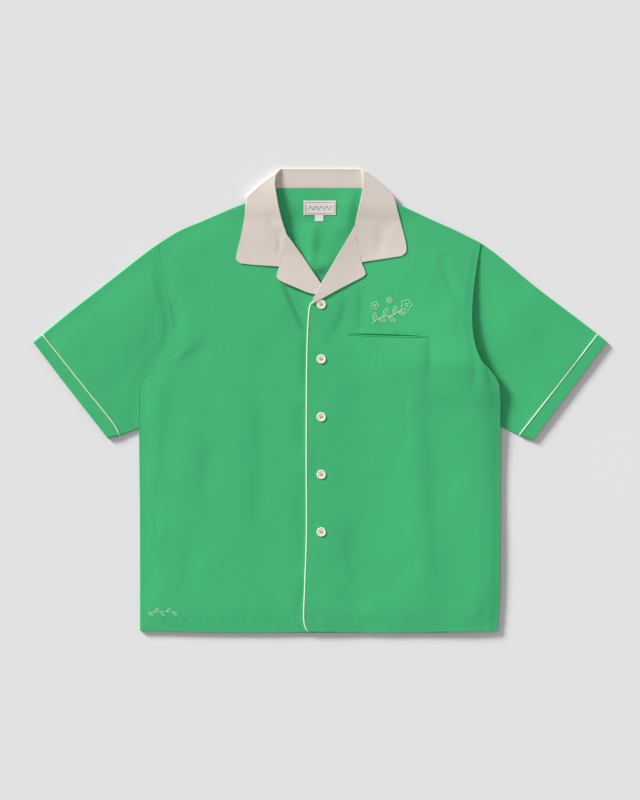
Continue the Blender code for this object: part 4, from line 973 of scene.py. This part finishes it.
def cloth_piece(node_name, points, material, slot="shirt_cloth", suffix="cloth", **grid):
    """A sheet of cloth that stands for one solid, and its area."""
    obj = grid_object(f"{node_name}_{suffix}", points, material, **grid)
    return shown(obj, slot, node_name), cloth_area(points, grid.get("left_out"))


def cloth_area(points, left_out=None):
    """Area of the sheet through a grid of points."""
    along_row = np.diff(points, axis=1)[:-1]
    up_column = np.diff(points, axis=0)[:, :-1]
    cells = np.linalg.norm(np.cross(along_row, up_column), axis=2)
    return round(float(cells.sum() if left_out is None else cells[~left_out].sum()), 5)


def make_back(material):
    sides = [moved_in(rim, SIDE_INSET, BACK_CENTRE) for rim in (RIM_RIGHT, RIM_LEFT)]
    top = np.concatenate([TOP_RIGHT[::-1], soft_curve(BACK_NECK)[1:-1], TOP_LEFT])
    top[0] = sides[0][-1]
    top[-1] = sides[1][-1]
    across = fractions(BACK_EDGE, BACK_GRID.across, BACK_GRID.width)
    up = fractions(BACK_EDGE, BACK_GRID.up, BACK_GRID.length)
    plan = patch(HEM + (0.0, SIDE_INSET), top, sides[0], sides[1], across, up)
    points = with_heights(plan, back_top(*split(plan)))
    return cloth_piece("back", points, material, thickness=BACK_SHELL)


def make_front(name, inner, hem_middle, side, top, top_of, material, more_rows=()):
    """A front from its inner edge outwards and from the hem up."""
    inner[-1] = top[0]
    hem = soft_curve([inner[0], hem_middle, tuple(side[0])])
    across = fractions(EDGE_ROWS, FRONT_GRID.across, FRONT_GRID.width)
    up = fractions(HEM_ROWS, FRONT_GRID.up, FRONT_GRID.length, EDGE_ROWS)
    up = np.sort(np.concatenate([up, more_rows]))
    plan = patch(hem, top, inner, side, across, up)
    points = with_heights(plan, top_of(*split(plan)))
    return cloth_piece(name, points, material, thickness=SHELL)


def make_front_left(material):
    cord = moved_in(soft_curve(CORD_LINE), CORD_RADIUS, FRONT_CENTRE)
    lapel = moved_in(soft_curve(BREAK_LEFT), BREAK_INSET, CHEST_CENTRE)
    inner = np.concatenate([cord, lapel, soft_curve(NECK_SEAM_LEFT) + (NECK_CLEARANCE, 0.0)])
    return make_front("front_left", inner, HEM_LEFT, RIM_LEFT, TOP_LEFT, lap_top, material,
                      np.linspace(*SLIT_ROWS))


def make_front_right(material):
    edge = soft_curve(PLACKET_LINE)
    lapel = moved_in(soft_curve(BREAK_RIGHT), BREAK_INSET, towards(CHEST_CENTRE, -1))
    inner = np.concatenate([edge, lapel, soft_curve(NECK_SEAM_RIGHT) - (NECK_CLEARANCE, 0.0)])
    return make_front("front_right", inner, HEM_RIGHT, RIM_RIGHT, TOP_RIGHT, under_top, material)


def flat_ring(plan, heights, wall):
    """Rows of rings: over the top from fold to fold and back underneath, wall inside the cloth."""
    first = plan[:, :1]
    last = plan[:, -1:]
    width = np.linalg.norm(last - first, axis=2)
    across = (last - first) / width[..., None]
    run = ((plan - first) * across).sum(axis=2)
    off = np.minimum(run, width - run)
    inward = np.where(run < width / 2, 1.0, -1.0) * np.clip(1 - off / FOLD_TURN, 0.0, 1.0)
    plan = plan + across * (inward * wall)[..., None]
    fold = np.clip(heights / 2, FOLD_SMALLEST, FOLD_LARGEST) - wall * FOLD_WALL_SHARE
    bend = rounded(off / fold)
    middle = heights[:, [0, -1]].mean(axis=1)[:, None] / 2
    over = middle + (heights - wall - middle) * bend
    under = middle + (wall - middle) * bend
    ring_top = with_heights(plan, over)
    ring_bottom = with_heights(plan, under)[:, ::-1]
    return np.concatenate([ring_top, ring_bottom[:, 1:]], axis=1)


def trimmed(line, end):
    """The line cut where it comes nearest to the end point, and brought to it."""
    last = int(np.argmin(np.linalg.norm(line - end, axis=1)))
    return np.concatenate([line[:last], [end]])


def tube_piece(node_name, plan, heights, material, slot="shirt_cloth"):
    """A tube pressed flat, its wall closed at both ends: outside to the end, and back inside."""
    outside = flat_ring(plan, heights, 0.0)
    inside = flat_ring(plan, heights, SHELL)
    rows = np.concatenate([outside, inside[::-1], outside[:1]])
    steps = np.linalg.norm(np.diff(outside, axis=1), axis=2).mean(axis=0)
    around = running(steps)
    out = np.linalg.norm(plan[:, 0] - plan[0, 0], axis=1)
    map_rows = np.concatenate([out, out[::-1], out[:1]])
    uv = np.stack(np.meshgrid(around, map_rows), axis=-1)
    obj = grid_object(f"{node_name}_cloth", rows, material, closed=True, uv=uv)
    return shown(obj, slot, node_name), cloth_area(outside)


def tube_grid(tube):
    """Fractions across a tube pressed flat and along the arm, close together at its edges."""
    across = fractions(TUBE_EDGE, tube.across, tube.width)
    return across, with_end_rows(tube.end, tube.along)


def make_sleeve(side, shape, armhole, centre, material):
    """A sleeve from the armhole, where it starts under the front's edge, to the band's seam."""
    inner = moved_in(armhole, OVERHANG - SLEEVE_SEAM, centre)[::-1]
    upper_fold = soft_curve(shape["top"])
    seam = moved_in(soft_curve(shape["seam"]), CORD_SLOT - CORD_COVER, centre)
    top = trimmed(np.concatenate([inner[:1], upper_fold[1:]]), seam[0])
    under = trimmed(np.concatenate([inner[-1:], soft_curve(shape["under"])[1:]]), seam[-1])
    plan = patch(inner, seam, top, under, *tube_grid(SLEEVE_TUBE))
    heights = sleeve_top(*split(plan), armhole, upper_fold, shape)
    return tube_piece(f"sleeve_{side}", plan, heights, material)


def make_cuff(side, shape, centre, material):
    seam = moved_in(soft_curve(shape["seam"]), CORD_COVER - CORD_SLOT, centre)
    edge = soft_curve(shape["edge"])
    ends = [np.array([seam[end], edge[end]]) for end in (0, -1)]
    plan = patch(seam, edge, *ends, *tube_grid(CUFF_TUBE))
    heights = SLEEVE_HEIGHT - GAP + waves(*split(plan), CUFF_WAVES)
    return tube_piece(f"cuff_{side}", plan, heights, material, "cuff_cloth")


def cord(node_name, points, radius, cyclic, material):
    """A round piping along the points."""
    name = f"{node_name}_cord"
    curve = bpy.data.curves.new(name, "CURVE")
    curve.dimensions = "3D"
    curve.bevel_depth = radius
    curve.bevel_resolution = CORD_ROUND
    curve.use_fill_caps = True
    spline = curve.splines.new("POLY")
    spline.points.add(len(points) - 1)
    for knot, point in zip(spline.points, points):
        knot.co = (*point, 1.0)
    spline.use_cyclic_u = cyclic
    spline.use_smooth = True
    curve.materials.append(material)
    return shown(placed(name, curve), "piping_cord", node_name)


def make_front_cord(material):
    plan = along(soft_curve(CORD_LINE + CORD_END), np.linspace(0.0, 1.0, FRONT_CORD_POINTS))
    heights = front_top(*split(plan)) + CORD_RADIUS - CORD_SINK
    return cord("piping_front", with_heights(plan, heights), CORD_RADIUS, False, material)


def make_sleeve_cord(side, shape, material):
    seam = soft_curve(shape["seam"])
    length = np.linalg.norm(seam[-1] - seam[0])
    across = fractions(SLEEVE_CORD_EDGE, SLEEVE_CORD_CELLS, length)
    plan = along(seam, across)
    over = np.full(len(across), SLEEVE_HEIGHT - SLEEVE_CORD_RADIUS + SLEEVE_CORD_PROUD)
    over[[0, -1]] = SLEEVE_HEIGHT / 2 + SLEEVE_CORD_LOW
    over[[1, -2]] = SLEEVE_HEIGHT - SLEEVE_CORD_RADIUS - SLEEVE_CORD_LOW
    ring_top = with_heights(plan, over)
    ring_bottom = with_heights(plan, np.full(len(across), SLEEVE_CORD_RADIUS))[-2:0:-1]
    return cord(f"piping_sleeve_{side}", np.concatenate([ring_top, ring_bottom]),
                SLEEVE_CORD_RADIUS, True, material)


def roll_rise(lines, x, y, roll_by_y, lift_by_y):
    """Height of the collar off the shirt, which sinks outwards from the break and the roll."""
    run = np.minimum.reduce([distance_to(line, x, y) for line in lines])
    roll = np.interp(y, *soft_curve(roll_by_y).T)
    lift = np.interp(y, *soft_curve(lift_by_y).T)
    far = np.clip(run / ROLL_REACH, 0.0, 1.0)
    return lift * (1 - LIFT_FADE * far) + roll * (1 - far) ** ROLL_SHAPE


def collar_side(shape, break_line, top_of, centre, heights_by_y):
    """Sections of the collar from the end of a leaf up to the shoulder.

    Each runs from the stand's seam over the roll to the outer edge. Along the gorge there is no
    stand, so the cells there are left out later.
    """
    gorge, roll, end, outer, shoulder, seam = [soft_curve(line) for line in shape.values()]
    inner = np.concatenate([gorge, roll[1:]])
    length = [step_lengths(part).sum() for part in (gorge, roll)]
    share = length[0] / sum(length)
    up = np.concatenate([
        [0.0], np.linspace(END_SHARE, share, GORGE_ROWS - 1),
        np.linspace(share, 1 - FOLD_SHARE, LEAF_ROWS)[1:], [1.0],
    ])
    fold_top = moved_in(shoulder, SHOULDER_FOLD, centre)
    start = np.linalg.norm(fold_top - inner[-1], axis=1).argmin() + SHOULDER_SKIP
    fold_top = np.concatenate([inner[-1:], fold_top[start:-1], outer[-1:]])
    leaf = patch(end, fold_top, inner, outer, COLLAR_COLUMNS, up)
    level = top_of(*split(leaf)) + COLLAR_GAP + COLLAR_SHELL / 2
    lines = (soft_curve(break_line), roll)
    leaf_rows = with_heights(leaf, level + roll_rise(lines, *split(leaf), *heights_by_y))
    stand_rows = []
    for row, fraction in enumerate(up):
        roll_point = leaf_rows[row, 0]
        from_fold = (1 - fraction) / (1 - share)
        back = along(seam, [np.clip(from_fold * STAND_REACH, 0.0, 1.0)])[0]
        low = top_of(back[0], back[1]) - SHELL
        beside = smooth(from_fold / STAND_TURN)
        stand = []
        for part, at_corner, lift in zip(STAND_COLUMNS, STAND_AT_CORNER, STAND_LIFTS):
            spot = roll_point[:2] + (back - roll_point[:2]) * part
            stand.append((*spot, at_corner + (low + lift - at_corner) * beside))
        stand_rows.append(stand)
        if row >= GORGE_ROWS:
            step = leaf_rows[row, 1, 2] - stand[-1][2]
            leaf_rows[row, 0, 2] = stand[-1][2] + ROLL_EDGE_SHARE * step
    return np.concatenate([np.array(stand_rows), leaf_rows], axis=1)


def back_row(seam_point, line, roll_z, stand_heights, fall_heights):
    """One section behind the neck: from the stand's seam over the roll and down the fall."""
    roll_point = line[0]
    row = []
    for share, height in zip(BACK_STAND_COLUMNS, stand_heights):
        spot = roll_point + (np.array(seam_point) - roll_point) * share
        row.append((*spot, height))
    spots = along(line, COLLAR_COLUMNS)
    row.append((*spots[0], roll_z))
    row.extend((*spot, height) for spot, height in zip(spots[1:], fall_heights[1:]))
    return row


def finer(grid, steps):
    """The grid with steps cells for each one, through the same points."""
    wide = np.array([soft_curve(row, steps) for row in grid])
    return np.stack([soft_curve(wide[:, k], steps) for k in range(wide.shape[1])], axis=1)


def make_collar(material):
    """Leaf, shoulder fold, back and the other side in one sheet folded along its roll."""
    right = collar_side(COLLAR_RIGHT, BREAK_RIGHT, front_top, towards(LEAF_CENTRE, -1), RISE_RIGHT)
    left = collar_side(COLLAR_LEFT, BREAK_LEFT, lap_top, LEAF_CENTRE, RISE_LEFT)
    low = np.full(len(COLLAR_COLUMNS), CLOTH / 2)
    edge = np.interp(COLLAR_COLUMNS, *zip(*FOLD_EDGE))
    turns = []
    for side, shape in ((-1, COLLAR_RIGHT), (1, COLLAR_LEFT)):
        outline = soft_curve(shape["shoulder"])
        fold = back_row((side * SEAM_AT_FOLD, STAND_SEAM), outline, ROLL_AT_FOLD,
                        STAND_AT_CORNER, edge)
        inset = moved_in(outline, FALL_INSET, towards(LEAF_CENTRE, side))
        inset[0] = (outline[0, 0] - side * FALL_DRAW_IN, COLLAR_TOP)
        inset = np.concatenate([inset[:1], inset[FALL_SKIP:]])
        under = back_row((side * SEAM_IN_FALL, STAND_SEAM), inset, ROLL_IN_FALL,
                         STAND_ON_BACK, low)
        turns.append([fold, under])
    behind = []
    for x in BACK_ROWS_X:
        line = np.array([(x, COLLAR_TOP), along(FALL_LINE, [0.5 + x * FALL_SPREAD])[0]])
        behind.append(back_row((x * SEAM_SPREAD, STAND_SEAM), line, ROLL_AT_BACK,
                               STAND_ON_BACK, low))
    rows = np.concatenate([right, turns[0], behind, turns[1][::-1], left[::-1]])
    left_out = np.zeros((len(rows) - 1, rows.shape[1] - 1), bool)
    left_out[:GORGE_ROWS, :len(STAND_COLUMNS)] = True
    left_out[-GORGE_ROWS:, :len(STAND_COLUMNS)] = True
    left_out = np.kron(left_out, np.ones((COLLAR_STEPS, COLLAR_STEPS), bool)).astype(bool)
    points = finer(rows, COLLAR_STEPS)
    points[..., 2] += fold_height(COLLAR_FOLDS, *split(points))
    points[..., 2] = np.maximum(points[..., 2], COLLAR_SHELL / 2)
    return cloth_piece("collar", points, material, "collar_cloth", thickness=COLLAR_SHELL,
                       offset=0.0, left_out=left_out)


def make_lapel(side, shape, collar_shape, break_line, top_of, low_z, heights_by_y, material):
    """A facing turned out over its front, rounding down past the front's edge at the break."""
    gorge = moved_in(soft_curve(collar_shape["gorge"]), LAPEL_INSET, NECK_CENTRE)
    first = soft_curve(break_line)
    lower = np.concatenate([first[:1], soft_curve(shape["lower"])])
    outer = np.concatenate([soft_curve(shape["outer"]), gorge[1:-GORGE_SKIP]])
    upper = np.array([first[-1], outer[-1]])
    cells = len(LAPEL_COLUMNS) - 1
    across = np.linspace(0, cells, cells * LAPEL_FINE + 1)
    across = np.interp(across, range(cells + 1), LAPEL_COLUMNS)
    across = np.insert(across, -1, 1 - LAPEL_END_SHARE)
    plan = patch(lower, upper, first, outer, across, with_end_rows(LAPEL_END_SHARE, LAPEL_ROWS))
    x, y = split(plan)
    run = distance_to(first, x, y)
    level = top_of(x, y) + COLLAR_GAP + COLLAR_SHELL
    lines = (first, soft_curve(collar_shape["roll"]))
    over = level + roll_rise(lines, x, y, *heights_by_y)
    points = with_heights(plan, low_z + (over - low_z) * rounded(run / LAPEL_EDGE_ROLL))
    return cloth_piece(f"lapel_{side}", points, material, "collar_cloth", thickness=COLLAR_SHELL)


def make_lip(name, side, material):
    """One lip of the welt pocket: a narrow fold beside the slit, turned down into it."""
    share = np.linspace(0.0, 1.0, LIP_POINTS)
    slit = along(SLIT_LINE, share)
    open_here = swell(share)
    gape = open_here * (SLIT_HALF_WIDTH + SLIT_GAPE)
    out = np.concatenate([np.zeros(LIP_INSIDE), np.linspace(0.0, 1.0, LIP_FACE)[1:]])
    plan = np.array([slit + np.outer(gape + LIP_WIDTH * part, (0.0, side)) for part in out])
    x, y = split(plan)
    rounding = np.clip(out * (1 - LIP_START) + LIP_START, 0.0, 1.0)
    section = np.sqrt(np.sin(np.pi * rounding))[:, None]
    turned_in = np.concatenate([np.linspace(-1.0, 0.0, LIP_INSIDE), np.zeros(LIP_FACE - 1)])
    turned_in = turned_in[:, None]
    soft = waves(x, y, LIP_WAVES)
    level = lap_top(x, y) + slit_dip(x, y) + LIP_SEAT * (1 - 2 * out)[:, None]
    height = (LIP_HEIGHT + soft) * section + turned_in * (LIP_HEIGHT + SLIT_DEPTH * open_here)
    points = with_heights(plan, level + height)
    return cloth_piece(name, points, material, thickness=LIP_SHELL, offset=-side)


def label_top(x, y):
    return back_top(x, y) + LABEL_LIFT


def make_label(name, box, material):
    """A woven label on the inside of the back."""
    width = box.right - box.left
    height = box.top - box.bottom
    across = fractions(LABEL_EDGE, LABEL_CELLS[0], width)
    up = fractions(LABEL_EDGE, LABEL_CELLS[1], height)
    x, y = np.meshgrid(box.left + width * across, box.bottom + height * up)
    points = np.stack([x, y, label_top(x, y) + waves(x, y, LABEL_WAVES)], axis=-1)
    return cloth_piece(name, points, material, "label_tape", "tape", thickness=LABEL_SHELL)


def stitches(name, runs, top_of, radius, material, slot):
    """Thread lying on cloth: one small rounded stitch for each (start, end) pair in plan."""
    ends = np.array(runs, float)
    start, end = ends[:, 0], ends[:, 1]
    z_start = top_of(*split(start))
    z_end = top_of(*split(end))
    step = end - start
    side = np.stack([-step[:, 1], step[:, 0]], axis=1)
    side /= np.linalg.norm(side, axis=1)[:, None]
    angles = np.arange(STITCH_SIDES) * 2 * np.pi / STITCH_SIDES
    t = STATIONS[None, :, None]
    z = (z_start[:, None] * (1 - STATIONS) + z_end[:, None] * STATIONS + STATION_LIFT * radius)
    wide = (STATION_WIDTH * radius)[None, :, None]
    x = start[:, None, :1] + step[:, None, :1] * t + side[:, None, :1] * wide * np.cos(angles)
    y = start[:, None, 1:] + step[:, None, 1:] * t + side[:, None, 1:] * wide * np.cos(angles)
    height = z[..., None] + wide * np.sin(angles)
    verts = np.stack([x, y, height], axis=-1).reshape(-1, 3)
    index = np.arange(len(ends) * len(STATIONS) * STITCH_SIDES)
    index = index.reshape(len(ends), len(STATIONS), STITCH_SIDES)
    turned = np.roll(index, -1, axis=2)
    quads = np.stack(
        [index[:, :-1], turned[:, :-1], turned[:, 1:], index[:, 1:]], axis=-1).reshape(-1, 4)
    caps = np.concatenate([index[:, 0, ::-1], index[:, -1]])
    mesh = bpy.data.meshes.new(name)
    mesh.from_pydata(verts.tolist(), [], quads.tolist() + caps.tolist())
    work = bmesh.new()
    work.from_mesh(mesh)
    bmesh.ops.recalc_face_normals(work, faces=work.faces)
    return shown(smooth_object(name, mesh, work, material), slot)


def stitched(line, pitch, fill=STITCH_FILL):
    """The (start, end) pairs of a row of stitches along the line."""
    line = np.asarray(line, float)
    count = max(1, round(step_lengths(line).sum() / pitch))
    middle = (np.arange(count) + 0.5) / count
    reach = fill / 2 / count
    return list(zip(along(line, middle - reach), along(line, middle + reach)))


def hem_line(x_from, x_to):
    x = np.linspace(x_from, x_to, HEM_POINTS)
    return np.stack([x, np.interp(x, HEM[:, 0], HEM[:, 1]) + HEM_WIDTH], axis=1)


def leaf_lines(base, angle, length):
    """The two sides and the rib of a pointed leaf."""
    t = np.linspace(0.0, 1.0, LEAF_POINTS)
    bulge = LEAF_BULGE * np.sin(np.pi * t)
    turn = np.array([[np.cos(angle), np.sin(angle)], [-np.sin(angle), np.cos(angle)]])
    return [
        np.array(base) + np.stack([t * reach, bulge * side], axis=1) * length @ turn
        for side, reach in ((1.0, 1.0), (-1.0, 1.0), (0.0, LEAF_RIB))
    ]


def blossom_line(centre, radius):
    """The outline of a small flower with five round petals."""
    t = np.linspace(0.0, 2 * np.pi, PETAL_POINTS * PETALS + 1)
    reach = radius * (1 - PETAL_DEPTH + PETAL_DEPTH * np.abs(np.cos(PETALS / 2 * t)))
    return np.array(centre) + np.stack([np.cos(t), np.sin(t)], axis=1) * reach[:, None]


def sprig():
    """Stitches of the generic motif above the pocket: a sprig with leaves and small flowers."""
    stem = soft_curve(STEM)
    runs = stitched(stem, STEM_PITCH)
    for leaf in LEAVES:
        before, base, after = along(stem, leaf.share + np.array([-1, 0, 1]) * STEM_STEP)
        angle = math.atan2(*(after - before)[::-1]) + leaf.turn
        for line in leaf_lines(base, angle, leaf.length):
            runs += stitched(line, LEAF_PITCH)
    for x, y, radius in BLOSSOMS:
        runs += stitched(blossom_line((x, y), radius), SMALL_PITCH)
        runs += stitched(blossom_line((x, y), radius * EYE_SHARE), EYE_PITCH)
    return runs


def hem_motif():
    """Stitches of the small row of leaves at the hem."""
    box = HEM_MOTIF
    middle = (box.top + box.bottom) / 2
    runs = []
    for n in range(HEM_LEAVES):
        x = box.left + (box.right - box.left) * (n + HEM_LEAF_START) / HEM_LEAVES
        side = 1 if n % 2 else -1
        base = (x, middle + side * HEM_LEAF_OFF)
        for line in leaf_lines(base, side * HEM_LEAF_TURN, HEM_LEAF_LENGTH):
            runs += stitched(line, SMALL_PITCH)
    across = np.linspace(box.left, box.right, len(GROUND_DIPS))
    ground = soft_curve([(x, middle + dip) for x, dip in zip(across, GROUND_DIPS)])
    return runs + stitched(ground, LEAF_PITCH)


def label_pattern():
    """Woven lines of the neck label: a border, a zigzag and short dashes between its turns."""
    box = LABEL_NECK
    red, grey = [], []
    left, right = box.left + LABEL_INSET, box.right - LABEL_INSET
    low, high = box.bottom + LABEL_INSET, box.top - LABEL_INSET
    corners = [(left, low), (right, low), (right, high), (left, high), (left, low)]
    for a, b in zip(corners, corners[1:]):
        red += stitched([a, b], FRAME_PITCH, WOVEN_FILL)
    middle = (box.bottom + box.top) / 2
    turns = np.linspace(box.left + ZIGZAG_INSET, box.right - ZIGZAG_INSET, ZIGZAG_POINTS)
    zigzag = [(x, middle + (ZIGZAG_HEIGHT if n % 2 else -ZIGZAG_HEIGHT))
              for n, x in enumerate(turns)]
    for n, (a, b) in enumerate(zip(zigzag, zigzag[1:])):
        grey += stitched([a, b], ZIGZAG_PITCH, WOVEN_FILL)
        if n % 2:
            dash = [(b[0] + end * DASH_HALF, middle + DASH_UP) for end in (-1, 1)]
            red += stitched(dash, 2 * DASH_HALF)
    return red, grey


def make_button_mesh(material):
    """A turned button: flat foot, soft rim, dished middle and four drilled holes."""
    points = [(turned.radius, 0.0, turned.height) for turned in BUTTON_PROFILE]
    mesh = bpy.data.meshes.new("button_profile")
    mesh.from_pydata(points[::-1], [], [])
    mesh.edges.add(len(points) - 1)
    for n, edge in enumerate(mesh.edges):
        edge.vertices = (n, n + 1)
    blank = placed("button_blank", mesh)
    turned = blank.modifiers.new("Turned", "SCREW")
    turned.steps = turned.render_steps = BUTTON_STEPS
    turned.use_merge_vertices = True
    turned.merge_threshold = MERGE_WITHIN
    pins = bmesh.new()
    for turn in range(4):
        angle = math.radians(45 + 90 * turn)
        pin = bmesh.ops.create_cone(pins, cap_ends=True, segments=HOLE_SIDES, radius1=HOLE_RADIUS,
                                    radius2=HOLE_RADIUS, depth=HOLE_DEPTH)
        middle = (HOLE_OFFSET * math.cos(angle), HOLE_OFFSET * math.sin(angle), HOLE_MIDDLE)
        bmesh.ops.translate(pins, verts=pin["verts"], vec=middle)
    pin_mesh = bpy.data.meshes.new("button_pins")
    pins.to_mesh(pin_mesh)
    pins.free()
    cutter = placed("button_pins", pin_mesh)
    cut = blank.modifiers.new("Holes", "BOOLEAN")
    cut.object = cutter
    cut.solver = "EXACT"
    depsgraph = bpy.context.evaluated_depsgraph_get()
    made = bpy.data.meshes.new_from_object(blank.evaluated_get(depsgraph))
    for extra in (blank, cutter):
        bpy.data.objects.remove(extra, do_unlink=True)
    made.materials.clear()
    made.materials.append(material)
    made.polygons.foreach_set("use_smooth", [True] * len(made.polygons))
    made.set_sharp_from_angle(angle=math.radians(BUTTON_CREASE))
    made.name = "button"
    return made


def make_button(number, y, mesh, thread, green_thread):
    """A button on the front that laps over, its thread, and the stitches of its buttonhole."""
    ring = np.linspace(0.0, 2 * np.pi, RING_POINTS)
    around = np.stack([np.cos(ring), np.sin(ring)], axis=1) * BUTTON_RADIUS + (BUTTON_X, y)
    base = float(lap_top(*split(around)).mean()) - BUTTON_SINK
    obj = placed(f"button_{number}_resin", mesh.copy())
    obj.data.transform(Matrix.Translation((BUTTON_X, y, base)))
    shown(obj, "button_resin", f"button_{number}")
    reach = HOLE_OFFSET * math.sqrt(0.5)
    rows = [BUTTON_X + side * reach + strand for side in (-1, 1) for strand in STRANDS]
    sewn = stitches(f"button_{number}_thread", [((x, y - reach), (x, y + reach)) for x in rows],
                    lambda x, y: np.full_like(x, base + STRAND_LEVEL), SEWING_THREAD, thread,
                    "button_resin")
    ends = [(BUTTON_X, y + end * (TACK_FROM + TACK_STEP * n), TACK_HALF)
            for end in (-1, 1) for n in range(TACKS)]
    sides = [(BUTTON_X + side * SIDE_TACK_OFF, y - SIDE_TACK_FROM + SIDE_TACK_STEP * n,
              SIDE_TACK_HALF) for side in (-1, 1) for n in range(SIDE_TACKS)]
    tacks = [((x - half, level), (x + half, level)) for x, level, half in ends + sides]
    hole = stitches(f"buttonhole_{number}_thread", tacks, lap_top, HOLE_THREAD, green_thread,
                    "shirt_cloth")
    return obj, sewn, hole


def make_floor():
    mesh = bpy.data.meshes.new("floor")
    corners = ((-1, -1), (1, -1), (1, 1), (-1, 1))
    mesh.from_pydata([(x * FLOOR_REACH, y * FLOOR_REACH, FLOOR_Z) for x, y in corners], [],
                     [(0, 1, 2, 3)])
    mesh.materials.append(floor_material())
    placed("floor", mesh)


def make_light():
    """A low soft key from the upper left, and an even fill from all round."""
    data = bpy.data.lights.new("key", "SUN")
    data.energy = KEY_STRENGTH
    data.angle = math.radians(KEY_SOFTNESS)
    data.color = KEY_COLOUR
    key = placed("key", data)
    height = math.radians(KEY_HEIGHT)
    turn = math.radians(KEY_TURN)
    source = Vector((math.cos(turn) * math.cos(height), math.sin(turn) * math.cos(height),
                     math.sin(height)))
    key.rotation_mode = "QUATERNION"
    key.rotation_quaternion = source.to_track_quat("Z", "Y")
    world = bpy.data.worlds.new("studio")
    world.use_nodes = True
    with_values(world.node_tree.nodes["Background"], Color=(*FILL_COLOUR, 1.0),
                Strength=FILL_STRENGTH)
    bpy.context.scene.world = world


def make_camera():
    """Straight above the middle of the photo, which spans PHOTO_HEIGHT at the garment."""
    data = bpy.data.cameras.new("camera")
    data.lens = LENS
    data.sensor_width = SENSOR
    camera = placed("camera", data)
    camera.location = (0.0, PHOTO_MIDDLE_Y, PHOTO_HEIGHT * LENS / SENSOR + GARMENT_Z)
    bpy.context.scene.camera = camera


def make_shirt():
    green = cloth_material("shirt_poplin", GREEN, POPLIN)
    cream = cloth_material("collar_poplin", CREAM, POPLIN)
    piping = cloth_material("piping_satin", CORD_GREEN, SATIN, bump=0.05, sheen=0.2, mapped=False)
    tape = cloth_material("label_weave", TAPE, TAPE_WEAVE, bump=0.3)
    green_thread = thread_material("green_thread", GREEN_THREAD)
    pale_thread = thread_material("pale_thread", PALE_THREAD)
    button_thread = thread_material("button_thread", BUTTON_THREAD)
    red_thread = thread_material("label_red_thread", LABEL_RED)
    grey_thread = thread_material("label_grey_thread", LABEL_GREY)
    make_back(green)
    make_front_right(green)
    make_front_left(green)
    for side, shape, armhole, centre in (
        ("right", SLEEVE_RIGHT, ARMHOLE_RIGHT, towards(SLEEVE_CENTRE, -1)),
        ("left", SLEEVE_LEFT, ARMHOLE_LEFT, SLEEVE_CENTRE),
    ):
        make_sleeve(side, shape, armhole, centre, green)
        make_cuff(side, shape, centre, green)
        make_sleeve_cord(side, shape, piping)
    make_front_cord(piping)
    make_collar(cream)
    make_lapel("right", LAPEL_RIGHT, COLLAR_RIGHT, BREAK_RIGHT, front_top,
                                       LAPEL_LOW_RIGHT, RISE_RIGHT, cream)
    make_lapel("left", LAPEL_LEFT, COLLAR_LEFT, BREAK_LEFT, lap_top,
                                      LAPEL_LOW_LEFT, RISE_LEFT, cream)
    make_lip("pocket_welt_upper", 1, green)
    make_lip("pocket_welt_lower", -1, green)
    make_label("label_neck", LABEL_NECK, tape)
    make_label("label_size", LABEL_SIZE, tape)
    hem_right, hem_left = [
        stitches(f"hem_{side}_stitches", stitched(hem_line(*reach), HEM_PITCH), top_of,
                 HEM_THREAD, green_thread, "shirt_cloth")
        for side, reach, top_of in (("right", HEM_STITCHED_RIGHT, front_top),
                                    ("left", HEM_STITCHED_LEFT, lap_top))
    ]
    motif = stitches("chest_motif_thread", sprig(), lap_top, SPRIG_THREAD, pale_thread,
                     "shirt_cloth")
    small = stitches("hem_motif_thread", hem_motif(), front_top, SMALL_THREAD, pale_thread,
                     "shirt_cloth")
    label_red, label_grey = [
        stitches(f"label_{colour}_thread", runs, label_top, LABEL_THREAD, thread, "label_tape")
        for colour, runs, thread in zip(("red", "grey"), label_pattern(),
                                        (red_thread, grey_thread))
    ]
    button = make_button_mesh(resin_material("button_cream", RESIN))
    on_left = [hem_left, motif]
    for number, y in enumerate(BUTTON_YS, start=1):
        on_left += make_button(number, y, button, button_thread, green_thread)
    bpy.data.meshes.remove(button)


make_floor()
make_light()
make_camera()
make_shirt()
bpy.context.scene.view_settings.view_transform = "Standard"
